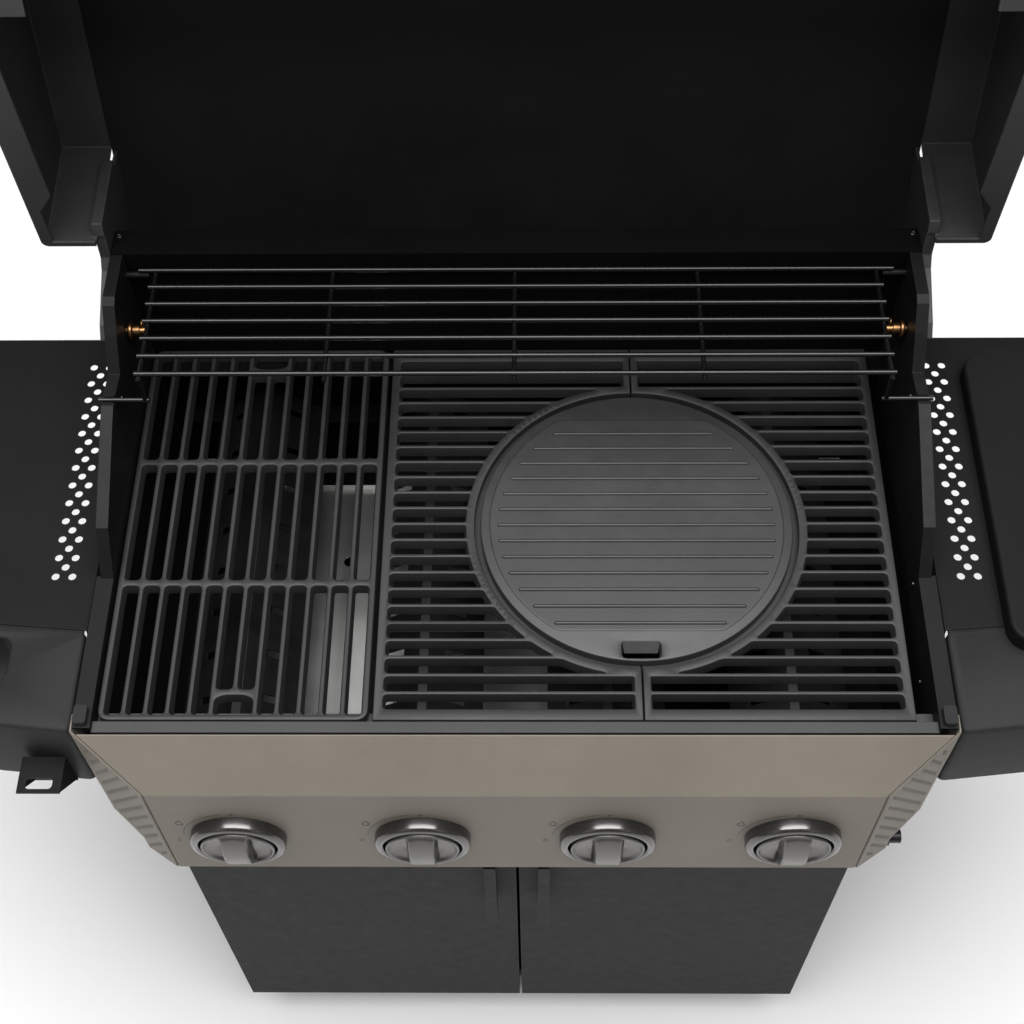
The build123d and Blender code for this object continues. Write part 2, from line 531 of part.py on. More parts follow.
def side_lid():
    """Dished cover of the side burner, closed."""
    (x0, x1), (y0, y1) = SIDE_LID
    low = SHELF_TOP + GAP
    shell = fillet(block((x0, x1), (y0, y1), (low, low + 20)).edges().filter_by(Axis.Z), 22)
    shell = fillet(shell.faces().sort_by(Axis.Z)[-1].edges(), 4)
    inside = fillet(block((x0 + 2, x1 - 2), (y0 + 2, y1 - 2), (low - 5, low + 18)).edges().filter_by(Axis.Z), 20)
    ear = block((x0 + 30, x0 + 46), (y1 - 1, y1 + 8.5), (low + 1.5, low + 8.5))
    ears = ear + Pos(x1 - x0 - 76, 0, 0) * ear
    return shell - inside + ears - rod((x0, y1 + 5, low + 5), (x1, y1 + 5, low + 5), 2.05)


def side_lid_pins():
    """Hinge knuckles and pin of the side burner cover, on the shelf."""
    (x0, x1), (y0, y1) = SIDE_LID
    axis_z = SHELF_TOP + GAP + 5
    parts = []
    for x in (x0 + 22, x1 - 54):
        pin = rod((x, y1 + 5, axis_z), (x + 32, y1 + 5, axis_z), 2.0)
        for side in (x, x + 25.5):
            pin += block((side, side + 6.5), (y1 + 1.5, y1 + 9), (SHELF_TOP + 0.2, axis_z + 3))
        parts.append(pin)
    return parts


def side_burner():
    x, y = SIDE_BURNER
    body = rod((x, y, NOSE_MID - 8), (x, y, SHELF_TOP - 12), 20)
    head = rod((x, y, SHELF_TOP - 12), (x, y, SHELF_TOP - 4), 34)
    cap = rod((x, y, SHELF_TOP - 4), (x, y, SHELF_TOP), 30)
    return body + head + cap - rod((x, y - 25, NOSE_MID), (x, y - 5, NOSE_MID), 6.3)


def trivet():
    """Four-armed pan support standing in the well."""
    x, y = SIDE_BURNER
    low, high = SHELF_TOP - 28, SHELF_TOP + 8
    ring = rod((x, y, low), (x, y, low + 4), 77) - rod((x, y, low - 5), (x, y, high), 71)
    for i in range(4):
        turn = Pos(x, y, 0) * Rot(0, 0, 45 + 90 * i)
        ring += turn * block((71, 76), (-3, 3), (low, high)) + turn * block((42, 76), (-3, 3), (high - 7, high))
    return ring


def bottle_opener():
    """Bent steel opener screwed to the left plastic front: a slotted lip held out by two gussets."""
    front = nose_front(416) - 0.5
    x, z, reach = (-456, -416), (-112, -62), 36
    opener = block(x, (front - 2, front), z) + block(x, (front - reach, front), (z[1] - 2, z[1]))
    for edge in (x[0], x[1] - SHEET):
        opener += side_plate(polygon((front, z[1]), (front - reach, z[1]), (front, z[0])), edge, edge + SHEET)
    slot = fillet(block((-449, -424), (front - 32, front - 21), (-70, -50)).edges().filter_by(Axis.Z), 4)
    pad = block((-450, -422), (front - 0.5, front + 8), (-100, -75)) - mirrored(shelf_nose())
    return opener - slot + pad.solids().sort_by(Axis.Y)[0]


# --------------------------------------------------------------------- cabinet
def cabinet_side():
    """Right cabinet side: sheet panel with folded edges."""
    z = (CABINET_LOW, CABINET_TOP)
    panel = block((CABINET_HALF - SHEET, CABINET_HALF), (CABINET_FRONT + 14, CABINET_BACK), z)
    top = block((CABINET_HALF - 24, CABINET_HALF), (CABINET_FRONT + 14, CABINET_BACK), (z[1] - SHEET, z[1]))
    front = block((CABINET_HALF - 20, CABINET_HALF), (CABINET_FRONT + 14, CABINET_FRONT + 15.5), z)
    return panel + top + front


def cabinet_back():
    half = CABINET_HALF - SHEET - 0.2
    z0, z1 = CABINET_LOW + 3, CABINET_TOP - 60
    panel = block((-half, half), (CABINET_BACK - SHEET, CABINET_BACK), (z0, z1))
    rim = block((-half, half), (CABINET_BACK - 16, CABINET_BACK), (z1 - SHEET, z1))
    return panel + rim


def cabinet_floor():
    """Bottom shelf with a rim and four castor bosses."""
    half = CABINET_HALF - SHEET - 0.2
    y = (CABINET_FRONT + 16, CABINET_BACK - SHEET - 0.2)
    floor = block((-half, half), y, (CABINET_LOW, CABINET_LOW + 2.5))
    floor += block((-half, half), (y[0], y[0] + SHEET), (CABINET_LOW, CABINET_LOW + 25))
    for x, at in CASTORS:
        floor += block((x - 35, x + 35), (at - 35, at + 35), (CABINET_LOW, CABINET_LOW + 12))
        floor -= rod((x, at, CABINET_LOW - 5), (x, at, CABINET_LOW + 11), 5.05)
    return floor


DOOR_PIN_X, DOOR_PIN_Y = CABINET_HALF - 8, CABINET_FRONT + 6


def door():
    """Right door: folded pan, hinged on a pin at its outer edge, with a grip along the inner edge."""
    z = (CABINET_LOW + 2, CABINET_TOP - 32)
    x = (1.5, CABINET_HALF - 1)
    face = block(x, (CABINET_FRONT - 8, CABINET_FRONT - 8 + SHEET), z)
    for edge in (x[0], x[1] - SHEET):
        face += block((edge, edge + SHEET), (CABINET_FRONT - 8, CABINET_FRONT + 10), z)
    for low in (z[0], z[1] - SHEET):
        face += block(x, (CABINET_FRONT - 8, CABINET_FRONT + 12), (low, low + SHEET))
    bar = block((22, 34), (CABINET_FRONT - 34, CABINET_FRONT - 24), (z[1] - 210, z[1] - 40))
    for low in (z[1] - 200, z[1] - 62):
        bar += block((23, 33), (CABINET_FRONT - 26, CABINET_FRONT - 7.5), (low, low + 12))
    for low in (z[0], z[1] - SHEET):
        face -= rod((DOOR_PIN_X, DOOR_PIN_Y, low - 2), (DOOR_PIN_X, DOOR_PIN_Y, low + 5), 3.05)
    corner_y = (CABINET_FRONT + 9, CABINET_FRONT + 13)
    swing_corner = block((CABINET_HALF - 4, CABINET_HALF), corner_y, (z[0] - 1, z[1] + 1))
    return face + bar - swing_corner


def door_pins():
    """Hinge pins of the right door, on brackets from the cabinet side."""
    low, high = CABINET_LOW + 2, CABINET_TOP - 32
    out = []
    for inner, outer, step in ((low - 1.8, low + 5, -2), (high + 1.8, high - 5, 2)):
        pin = rod((DOOR_PIN_X, DOOR_PIN_Y, min(inner, outer)), (DOOR_PIN_X, DOOR_PIN_Y, max(inner, outer)), 3.0)
        tab = block((CABINET_HALF - 16, CABINET_HALF), (CABINET_FRONT, CABINET_FRONT + 15),
                    sorted((inner, inner + step)))
        out.append(pin + tab)
    return out


CASTORS = [(x, y) for y in (-CASTOR_Y, CASTOR_Y) for x in (-CASTOR_X, CASTOR_X)]


def castor_fork(x, y):
    """Swivel fork with its stem and axle."""
    crown_z = CABINET_LOW - 1
    hub_z = -COOK_Z + WHEEL_R
    crown = rod((x, y, crown_z - 6), (x, y, crown_z), 24)
    stem_bar = rod((x, y, crown_z - 2), (x, y, CABINET_LOW + 10.5), 5.0)
    fork = crown + stem_bar
    for side in (-1, 1):
        at = x + side * (WHEEL_WIDE / 2 + 2.5)
        leg = polygon((y - 16, crown_z - 5), (y + 16, crown_z - 5), (y + TRAIL + 11, hub_z), (y + TRAIL, hub_z - 9),
                      (y + TRAIL - 11, hub_z))
        fork += side_plate(leg, at - 1.25, at + 1.25)
    reach = WHEEL_WIDE / 2 + 6
    return fork + rod((x - reach, y + TRAIL, hub_z), (x + reach, y + TRAIL, hub_z), 4.0)


def castor_wheel(x, y):
    """Wheel with a soft tread, a dished hub and a bore for the axle."""
    hub_z = -COOK_Z + WHEEL_R
    at, half = y + TRAIL, WHEEL_WIDE / 2
    wheel = rod((x - half, at, hub_z), (x + half, at, hub_z), WHEEL_R)
    wheel = fillet(wheel.edges().filter_by(GeomType.CIRCLE), 5)
    for side in (-1, 1):
        face = x + side * half
        ring = rod((face, at, hub_z), (face - side * 5, at, hub_z), 26)
        wheel -= ring - rod((face, at, hub_z), (face - side * 5, at, hub_z), 10)
    return wheel - rod((x - half - 1, at, hub_z), (x + half + 1, at, hub_z), 4.05)


# ----------------------------------------------------------------------- write
os.makedirs("parts", exist_ok=True)

side = firebox_side()
save("firebox_right_side", side)
save("firebox_left_side", mirrored(side))
save("firebox_front", firebox_front())
save("firebox_back", firebox_back())
save("firebox_floor", firebox_floor())
save("grease_tray", grease_tray())
save("lid_bumpers", bumper(1), bumper(-1))
for number, x in enumerate(BURNERS_X, 1):
    save(f"burner_{number}", burner(x))
    save(f"valve_stem_{number}", stem(x, FACE_Y, KNOB_Z, MANIFOLD_Y - 7))
    save(f"knob_{number}", knob(x, FACE_Y, KNOB_Z))
save("flame_tamers", *[flame_tamer(x) for x in BURNERS_X])
save("gas_manifold", gas_manifold(), side_valve())

wing = panel_wing()
save("control_panel", control_panel())
save("panel_wings", wing, mirrored(wing))
save("knob_bezels", *[bezel(x, FACE_Y, KNOB_Z) for x in BURNERS_X])

right_end = opened(lid_end() + lid_arm())
save("lid_right_end", right_end)
save("lid_left_end", mirrored(right_end))
save("lid_shell", opened(lid_shell()))
save("lid_handle", opened(handle()))
save("lid_handle_brackets", opened(handle_bracket(-290)), opened(handle_bracket(290)))
save("lid_thermometer", opened(thermometer()))
pin, clip = hinge_pin()
save("hinge_pins", pin, clip, mirrored(pin), mirrored(clip))

save("warming_rack", warming_rack())
save("grate_left", left_grate())
save("grate_centre", ring_grate(-1))
save("grate_right", ring_grate(1))
save("griddle_insert", griddle())

save("left_shelf", mirrored(shelf_top()))
save("right_shelf", burner_shelf(), *side_lid_pins())
nose = shelf_nose()
save("left_shelf_front", mirrored(nose - hand_hole()))
save("right_shelf_front", nose - rod((BUTTON_X, -260, NOSE_MID), (BUTTON_X, -60, NOSE_MID), 7))
save("side_burner", side_burner())
save("side_burner_trivet", trivet())
save("side_burner_lid", side_lid())
save("bottle_opener", bottle_opener())
save("valve_stem_side", stem(BUTTON_X, BUTTON_Y, NOSE_MID, BUTTON_Y + 24))
save("knob_side", knob(BUTTON_X, BUTTON_Y, NOSE_MID, 0.7))

cabinet = cabinet_side()
pins = door_pins()
save("cabinet_right_side", cabinet, *pins)
save("cabinet_left_side", mirrored(cabinet), *[mirrored(one) for one in pins])
save("cabinet_back", cabinet_back())
save("cabinet_floor", cabinet_floor())
leaf = door()
save("right_door", leaf)
save("left_door", mirrored(leaf))
for number, (x, y) in enumerate(CASTORS, 1):
    save(f"castor_fork_{number}", castor_fork(x, y))
    save(f"castor_wheel_{number}", castor_wheel(x, y))
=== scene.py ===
import json
from math import atan2, cos, hypot, pi, radians, sin, sqrt

import bmesh
import bpy
from mathutils import Matrix, Vector, geometry


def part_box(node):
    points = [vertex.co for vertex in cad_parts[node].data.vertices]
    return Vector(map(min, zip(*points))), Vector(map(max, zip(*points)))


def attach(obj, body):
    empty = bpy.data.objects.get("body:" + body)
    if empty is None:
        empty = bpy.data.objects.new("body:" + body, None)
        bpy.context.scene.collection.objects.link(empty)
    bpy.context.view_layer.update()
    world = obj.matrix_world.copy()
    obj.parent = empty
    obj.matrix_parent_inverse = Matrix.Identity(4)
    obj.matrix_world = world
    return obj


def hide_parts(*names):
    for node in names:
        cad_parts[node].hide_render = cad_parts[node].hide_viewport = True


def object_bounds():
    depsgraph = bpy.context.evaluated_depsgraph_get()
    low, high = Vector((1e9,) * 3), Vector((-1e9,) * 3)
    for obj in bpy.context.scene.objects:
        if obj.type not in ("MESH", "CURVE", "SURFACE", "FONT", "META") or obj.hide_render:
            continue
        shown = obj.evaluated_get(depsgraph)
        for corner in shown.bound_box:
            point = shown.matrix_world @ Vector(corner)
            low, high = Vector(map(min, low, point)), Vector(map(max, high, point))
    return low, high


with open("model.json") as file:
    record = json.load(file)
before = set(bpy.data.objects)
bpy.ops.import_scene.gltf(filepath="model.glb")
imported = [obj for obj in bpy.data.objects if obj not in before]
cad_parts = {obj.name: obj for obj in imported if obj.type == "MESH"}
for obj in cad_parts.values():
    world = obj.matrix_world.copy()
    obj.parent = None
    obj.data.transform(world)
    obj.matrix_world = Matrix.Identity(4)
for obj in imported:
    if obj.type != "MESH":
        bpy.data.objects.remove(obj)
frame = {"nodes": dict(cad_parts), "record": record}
cad_bounds = [list(corner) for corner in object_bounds()]
MM = 0.001

# Sizes below are in millimetres, with x from the part's middle, y from the griddle's centre and z from the
# top of the grates.
griddle_low, griddle_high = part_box("griddle_insert")
RING_X = (griddle_low.x + griddle_high.x) / 2 / MM
COOK_Y = (griddle_low.y + griddle_high.y) / 2
COOK_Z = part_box("grate_left")[1].z


def at(x, y, z):
    """A place on the cooking surface in millimetres, as metres in the part's frame."""
    return Vector((x * MM, COOK_Y + y * MM, COOK_Z + z * MM))


def local_box(node):
    """A node's box in the same millimetres: (x0, x1), (y0, y1), (z0, z1)."""
    low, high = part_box(node)
    origin = Vector((0, COOK_Y, COOK_Z))
    return [tuple(v / MM for v in pair) for pair in zip(low - origin, high - origin)]


# ------------------------------------------------------------------- materials
SLOW_CELLS, PATCH_CELLS, SPECK_CELLS = 9.0, 60.0, 420.0      # noise cells per metre
BRUSHED_X = (0.03, 1.0, 1.0)                                 # stretch of the grain for brushing along X
BRUSHED_Y = (1.0, 0.02, 1.0)


def new_material(name):
    """A node material, with its tree and its shader."""
    material = bpy.data.materials.new(name)
    material.use_nodes = True
    tree = material.node_tree
    return material, tree, tree.nodes["Principled BSDF"]


def ramp(tree, source, low, high, start=0.35, end=0.65):
    """Colour ramp from low to high over start to end of a 0 to 1 value."""
    node = tree.nodes.new("ShaderNodeValToRGB")
    node.color_ramp.elements[0].position = start
    node.color_ramp.elements[1].position = end
    node.color_ramp.elements[0].color = (*low, 1)
    node.color_ramp.elements[1].color = (*high, 1)
    tree.links.new(source, node.inputs["Fac"])
    return node.outputs["Color"]


def noise(tree, coords, scale, detail=3.0, stretch=None):
    """Noise value; scale is in cells per metre."""
    node = tree.nodes.new("ShaderNodeTexNoise")
    node.inputs["Scale"].default_value = scale
    node.inputs["Detail"].default_value = detail
    if stretch:
        mapping = tree.nodes.new("ShaderNodeMapping")
        mapping.inputs["Scale"].default_value = stretch
        tree.links.new(coords, mapping.inputs["Vector"])
        coords = mapping.outputs["Vector"]
    tree.links.new(coords, node.inputs["Vector"])
    return node.outputs["Fac"]


def mix(tree, kind, factor, a, b):
    """Colour mixed from a and b; factor, a and b are sockets or plain values."""
    node = tree.nodes.new("ShaderNodeMix")
    node.data_type = "RGBA"
    node.blend_type = kind
    for socket, value in ((node.inputs[0], factor), (node.inputs[6], a), (node.inputs[7], b)):
        if hasattr(value, "links"):
            tree.links.new(value, socket)
        elif isinstance(value, (int, float)):
            socket.default_value = value
        else:
            socket.default_value = (*value, 1)
    return node.outputs[2]


def math_node(tree, operation, a, b):
    """Clamped result of an operation on two sockets or numbers."""
    node = tree.nodes.new("ShaderNodeMath")
    node.operation = operation
    node.use_clamp = True
    for socket, value in zip(node.inputs, (a, b)):
        if hasattr(value, "links"):
            tree.links.new(value, socket)
        else:
            socket.default_value = value
    return node.outputs[0]


def surface(name, color, rough, metal=0.0, grain=1200.0, bump=0.06, spread=0.12, edge=None, edge_gain=6.0,
            rounding=0.8, stretch=None, specular=0.5, dust=None, pits=0.0, rough_spread=0.08):
    """Finish with grain, slow tone changes, softened edges, and bent edges lightened in the edge colour, part
    wear and part painted highlight.

    grain and pits are in cells per metre, bump and rounding in mm; edge is the colour painted on bent edges,
    part wear and part painted highlight."""
    material, tree, shader = new_material(name)
    links = tree.links
    coords = tree.nodes.new("ShaderNodeTexCoord").outputs["Object"]
    slow = noise(tree, coords, SLOW_CELLS, 4.0)
    fine = noise(tree, coords, grain, 2.0, stretch)
    patch = noise(tree, coords, PATCH_CELLS, 5.0, stretch)
    dark = tuple(c * (1 - spread) for c in color)
    light = tuple(min(1.0, c * (1 + spread)) for c in color)
    tone = ramp(tree, slow, dark, light)
    mottle = ramp(tree, patch, (0.75,) * 3, (1.15,) * 3)
    tone = mix(tree, "MULTIPLY", 0.35 * min(1.0, spread * 4), tone, mottle)
    bevel = tree.nodes.new("ShaderNodeBevel")
    bevel.samples = 4
    bevel.inputs["Radius"].default_value = rounding * MM
    # Edge colour on bent edges: part wear, part painted highlight where the rounded edges catch the light.
    if edge:
        geo = tree.nodes.new("ShaderNodeNewGeometry")
        dot = tree.nodes.new("ShaderNodeVectorMath")
        dot.operation = "DOT_PRODUCT"
        links.new(bevel.outputs["Normal"], dot.inputs[0])
        links.new(geo.outputs["Normal"], dot.inputs[1])
        bend = math_node(tree, "SUBTRACT", 1.0, dot.outputs["Value"])
        wear_and_highlight_mask = math_node(tree, "MULTIPLY", math_node(tree, "MULTIPLY", bend, edge_gain), patch)
        tone = mix(tree, "MIX", wear_and_highlight_mask, tone, edge)
    if dust:
        speck = ramp(tree, noise(tree, coords, SPECK_CELLS, 6.0), (0, 0, 0), (1, 1, 1), 0.66, 0.74)
        tone = mix(tree, "MIX", mix(tree, "MULTIPLY", 1.0, speck, (0.5,) * 3), tone, dust)
    links.new(tone, shader.inputs["Base Color"])
    shine = tree.nodes.new("ShaderNodeMapRange")
    shine.inputs["To Min"].default_value = max(0.05, rough - rough_spread)
    shine.inputs["To Max"].default_value = min(1.0, rough + rough_spread)
    links.new(patch, shine.inputs["Value"])
    links.new(shine.outputs["Result"], shader.inputs["Roughness"])
    height = fine
    if pits:
        cells = tree.nodes.new("ShaderNodeTexVoronoi")
        cells.inputs["Scale"].default_value = pits
        links.new(coords, cells.inputs["Vector"])
        height = math_node(tree, "ADD", math_node(tree, "MULTIPLY", fine, 0.5),
                           math_node(tree, "MULTIPLY", cells.outputs["Distance"], 0.7))
    relief = tree.nodes.new("ShaderNodeBump")
    relief.inputs["Strength"].default_value = 0.6
    relief.inputs["Distance"].default_value = bump * MM
    links.new(height, relief.inputs["Height"])
    links.new(bevel.outputs["Normal"], relief.inputs["Normal"])
    links.new(relief.outputs["Normal"], shader.inputs["Normal"])
    shader.inputs["Metallic"].default_value = metal
    shader.inputs["Specular IOR Level"].default_value = specular
    return material


# Edge colours below are lighter than their bases: part wear, part painted highlight.
enamel = surface("enamel", (0.007, 0.007, 0.0071), 0.5, grain=700, bump=0.03, edge=(0.03,) * 3,
                 specular=0.16)
# Lighter copy of the firebox enamel for the front rail: painted light, standing for the extra light the front
# catches.
rail_enamel_painted_light = surface("rail_enamel_painted_light", (0.028, 0.028, 0.0283), 0.46, grain=700, bump=0.04, edge=(0.14,) * 3,
                      edge_gain=3.0, specular=0.4)
# Black darker than the enamel for the firebox's back and floor: painted shade inside the firebox.
firebox_black_painted_shade = surface("firebox_inside_painted_shade", (0.0025, 0.0025, 0.0025), 0.7, grain=900, bump=0.05, specular=0.06)
lid_paint = surface("lid_paint", (0.01, 0.01, 0.0103), 0.5, grain=800, bump=0.03, edge=(0.03,) * 3,
                    specular=0.12)
casting = surface("casting_paint", (0.029, 0.029, 0.0297), 0.5, grain=1100, bump=0.05, edge=(0.08,) * 3,
                  specular=0.4, rounding=2.2)
iron = surface("cast_iron", (0.0165, 0.0165, 0.0168), 0.5, grain=1500, bump=0.16, edge=(0.06,) * 3,
               edge_gain=3.0, rounding=0.8, specular=0.45, dust=(0.03, 0.03, 0.03), pits=900)
# Lighter copy of the cast iron for the griddle: painted reflection from its big flat top.
plate_iron_painted_light = surface("griddle_iron_painted_light", (0.026, 0.026, 0.0264), 0.46, grain=1500, bump=0.16, edge=(0.12,) * 3,
                     edge_gain=3.0, rounding=0.6, specular=0.5, dust=(0.04, 0.04, 0.04), pits=900)
steel = surface("brushed_steel", (0.5, 0.49, 0.48), 0.3, metal=1.0, grain=900, bump=0.02, spread=0.1,
                stretch=BRUSHED_Y)
steel_x = surface("brushed_steel_x", (0.6, 0.6, 0.59), 0.28, metal=1.0, grain=900, bump=0.02, spread=0.08,
                  stretch=BRUSHED_X)
heated = surface("heated_enamel", (0.006, 0.006, 0.006), 0.4, grain=700, bump=0.05, spread=0.25,
                 edge=(0.03,) * 3, specular=0.35)
taupe = surface("taupe_paint", (0.178, 0.158, 0.132), 0.55, metal=0.08, grain=2600, bump=0.05, spread=0.05,
                edge=(0.27, 0.25, 0.22), edge_gain=3.0, rounding=1.6, specular=0.18, rough_spread=0.04)
powder = surface("powder_coat", (0.0052, 0.0052, 0.0053), 0.6, grain=1500, bump=0.16, edge=(0.05,) * 3,
                 rounding=1.2, specular=0.15)
plastic = surface("shelf_plastic", (0.0135, 0.0135, 0.0138), 0.55, grain=1300, bump=0.08, rounding=4.0,
                  edge=(0.025,) * 3, specular=0.2, pits=1100)
knob_metal = surface("knob_metal", (0.13, 0.126, 0.122), 0.34, metal=0.85, grain=1800, bump=0.03,
                     spread=0.06, edge=(0.22,) * 3, edge_gain=3.0, rounding=1.2)
bezel_metal = surface("bezel_metal", (0.115, 0.112, 0.109), 0.2, metal=0.9, grain=1500, bump=0.02,
                      spread=0.06, rounding=0.8)
brass = surface("brass", (0.36, 0.2, 0.09), 0.34, metal=1.0, grain=900, bump=0.03, spread=0.2)
tray_metal = surface("tray_metal", (0.5, 0.5, 0.49), 0.36, metal=1.0, grain=500, bump=0.03, spread=0.2,
                     stretch=BRUSHED_Y)
rubber = surface("rubber", (0.012, 0.012, 0.012), 0.7, grain=1000, bump=0.08, specular=0.3)
tread = surface("tread", (0.022, 0.022, 0.022), 0.75, grain=700, bump=0.12, specular=0.3)
wire_black = surface("wire_enamel", (0.004, 0.004, 0.004), 0.24, grain=600, bump=0.02, rounding=0.3,
                     specular=0.45)
zinc = surface("zinc", (0.12, 0.12, 0.12), 0.36, metal=1.0, grain=1200, bump=0.03, spread=0.15)
ink = surface("ink", (0.02, 0.019, 0.018), 0.6, grain=1500, bump=0.01)
dial_white = surface("dial_face", (0.6, 0.6, 0.58), 0.4, grain=1500, bump=0.01, spread=0.04)
# Plain black for sheets that stand for shade: painted shade.
shadow_black = surface("painted_shade_black", (0.004, 0.004, 0.004), 0.8, grain=900, bump=0.03, specular=0.1)

BY_SLOT = {"black_enamel": enamel, "lid_enamel": lid_paint, "lid_casting": casting, "cast_iron": iron,
           "stainless": steel, "panel_paint": taupe, "shelf_paint": powder, "shelf_plastic": plastic,
           "knob_black": knob_metal, "bezel_black": bezel_metal, "brass": brass, "aluminium": tray_metal,
           "rubber": rubber, "tyre": tread}
SLOT_OF = {part["node"]: part["material_slot"] for part in frame["record"]["subparts"]}
OTHER = {"flame_tamers": heated, "warming_rack": wire_black, "lid_handle": steel_x, "firebox_back": firebox_black_painted_shade,
         "firebox_front": rail_enamel_painted_light, "firebox_floor": firebox_black_painted_shade, "gas_manifold": heated}
for node, thing in frame["nodes"].items():
    thing.data.materials.clear()
    thing.data.materials.append(OTHER.get(node, BY_SLOT[SLOT_OF[node]]))


# ------------------------------------------------------------------ mesh tools
def piece(name, shape, body, material, stands_for=(), sharp=38):
    """Links a mesh or bmesh as a piece of the object; edges bent more than sharp degrees stay crisp."""
    mesh = shape
    if isinstance(shape, bmesh.types.BMesh):
        mesh = bpy.data.meshes.new(name)
        bmesh.ops.recalc_face_normals(shape, faces=shape.faces)
        shape.to_mesh(mesh)
        shape.free()
    for poly in mesh.polygons:
        poly.use_smooth = True
    mesh.set_sharp_from_angle(angle=radians(sharp))
    thing = bpy.data.objects.new(name, mesh)
    bpy.context.scene.collection.objects.link(thing)
    mesh.materials.append(material)
    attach(thing, body)
    if stands_for:
        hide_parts(*stands_for)


def rounded(points, radius, steps=4):
    """Closed outline with its corners rounded."""
    out = []
    count = len(points)
    for i, corner in enumerate(points):
        corner = Vector(corner)
        before = Vector(points[i - 1]) - corner
        after = Vector(points[(i + 1) % count]) - corner
        reach = min(radius, before.length * 0.49, after.length * 0.49)
        a = corner + before.normalized() * reach
        b = corner + after.normalized() * reach
        for k in range(steps + 1):
            t = k / steps
            out.append(a * (1 - t) ** 2 + corner * 2 * t * (1 - t) + b * t * t)
    return out


def rectangle(x0, x1, y0, y1):
    """Corners of a rectangle, anticlockwise."""
    return [(x0, y0), (x1, y0), (x1, y1), (x0, y1)]


def circle(x, y, radius, steps=96, start=0.0, end=2 * pi):
    """Points on a circle, or on the arc from start to end in radians with both its ends."""
    closed = abs(end - start) > 2 * pi - 1e-6
    angles = [start + (end - start) * i / steps for i in range(steps if closed else steps + 1)]
    return [Vector((x + radius * cos(angle), y + radius * sin(angle))) for angle in angles]


def area(points):
    """Area inside an outline, negative if it runs clockwise."""
    return sum(a[0] * b[1] - b[0] * a[1] for a, b in zip(points, points[1:] + points[:1])) / 2


def shifted(points, distance):
    """Outline moved outwards by distance along its corner normals; the outline runs anticlockwise."""
    out = []
    count = len(points)
    for i, here in enumerate(points):
        before, after = Vector(points[i - 1]), Vector(points[(i + 1) % count])
        here = Vector(here)
        a, b = (here - before), (after - here)
        if a.length < 1e-9 or b.length < 1e-9:
            a = b = after - before
        a.normalize()
        b.normalize()
        normal = Vector((a.y + b.y, -a.x - b.x))
        size = normal.length
        if size < 1e-6:
            normal = Vector((a.y, -a.x))
            size = 1.0
        normal /= size
        lean = max(0.5, normal.dot(Vector((a.y, -a.x))))
        out.append(here + normal * (distance / lean))
    return out


def inside(point, outline):
    """Whether a point lies inside an outline, by counting the edges to its right."""
    x, y = point
    hit = False
    for (x0, y0), (x1, y1) in zip(outline, outline[1:] + outline[:1]):
        if (y0 > y) != (y1 > y) and x < (x1 - x0) * (y - y0) / (y1 - y0) + x0:
            hit = not hit
    return hit


def plate(bm, outer, holes, top, low, bevel=1.0, draft=0.0, place=None, low_bevel=0.3):
    """Adds a plate with holes to bm: rounded top edges, and walls that draft outwards below.

    place turns a point (x, y, z) in millimetres into metres; the default is at()."""
    place = place or (lambda p: at(*p))
    outer = [Vector(p) for p in outer]
    if area(outer) < 0:
        outer.reverse()
    loops = [(outer, -1.0)]
    for hole in holes:
        hole = [Vector(p) for p in hole]
        if area(hole) < 0:
            hole.reverse()
        loops.append((hole, 1.0))
    levels = [(bevel, top), (bevel * 0.35, top - bevel * 0.25), (0.0, top - bevel),
              (-draft, low + low_bevel), (-draft + low_bevel, low)]
    rings = []
    for outline, sign in loops:
        column = []
        for inset, z in levels:
            if outline is outer:
                inset = max(inset, 0.0)
            moved = shifted(outline, sign * inset)
            column.append([bm.verts.new(place((p.x, p.y, z))) for p in moved])
            if z in (top, low):
                rings.append((z, moved, column[-1]))
        for upper, lower in zip(column, column[1:]):
            count = len(upper)
            for i in range(count):
                j = (i + 1) % count
                bm.faces.new((upper[i], upper[j], lower[j], lower[i]))
    for z in (top, low):
        points, verts, edges, outlines = [], [], [], []
        for level, moved, ring in rings:
            if level != z:
                continue
            start = len(points)
            points += [Vector((p.x, p.y)) for p in moved]
            verts += ring
            edges += [(start + i, start + (i + 1) % len(ring)) for i in range(len(ring))]
            outlines.append([(p.x, p.y) for p in moved])
        corners, _, faces, origin, _, _ = geometry.delaunay_2d_cdt(points, edges, [], 0, 1e-5)
        boxes = [(min(x for x, _ in o), max(x for x, _ in o), min(y for _, y in o), max(y for _, y in o), o)
                 for o in outlines[1:]]
        for face in faces:
            middle = (sum(corners[i].x for i in face) / 3, sum(corners[i].y for i in face) / 3)
            if not inside(middle, outlines[0]):
                continue
            if any(x0 < middle[0] < x1 and y0 < middle[1] < y1 and inside(middle, o)
                   for x0, x1, y0, y1, o in boxes):
                continue
            if all(origin[i] for i in face):      # a sliver where edges cross has a corner with no vertex
                bm.faces.new([verts[origin[i][0]] for i in face])


def dome(bm, outline, levels, place=None):
    """Adds a closed lump: the outline inset by each (inset, z) in turn, capped at the last."""
    place = place or (lambda p: at(*p))
    outline = [Vector(p) for p in outline]
    if area(outline) < 0:
        outline.reverse()
    rings = [[bm.verts.new(place((p.x, p.y, z))) for p in shifted(outline, -inset)] for inset, z in levels]
    for a, b in zip(rings, rings[1:]):
        for i in range(len(a)):
            j = (i + 1) % len(a)
            bm.faces.new((a[i], a[j], b[j], b[i]))
    bm.faces.new(rings[-1])
    bm.faces.new(rings[0][::-1])


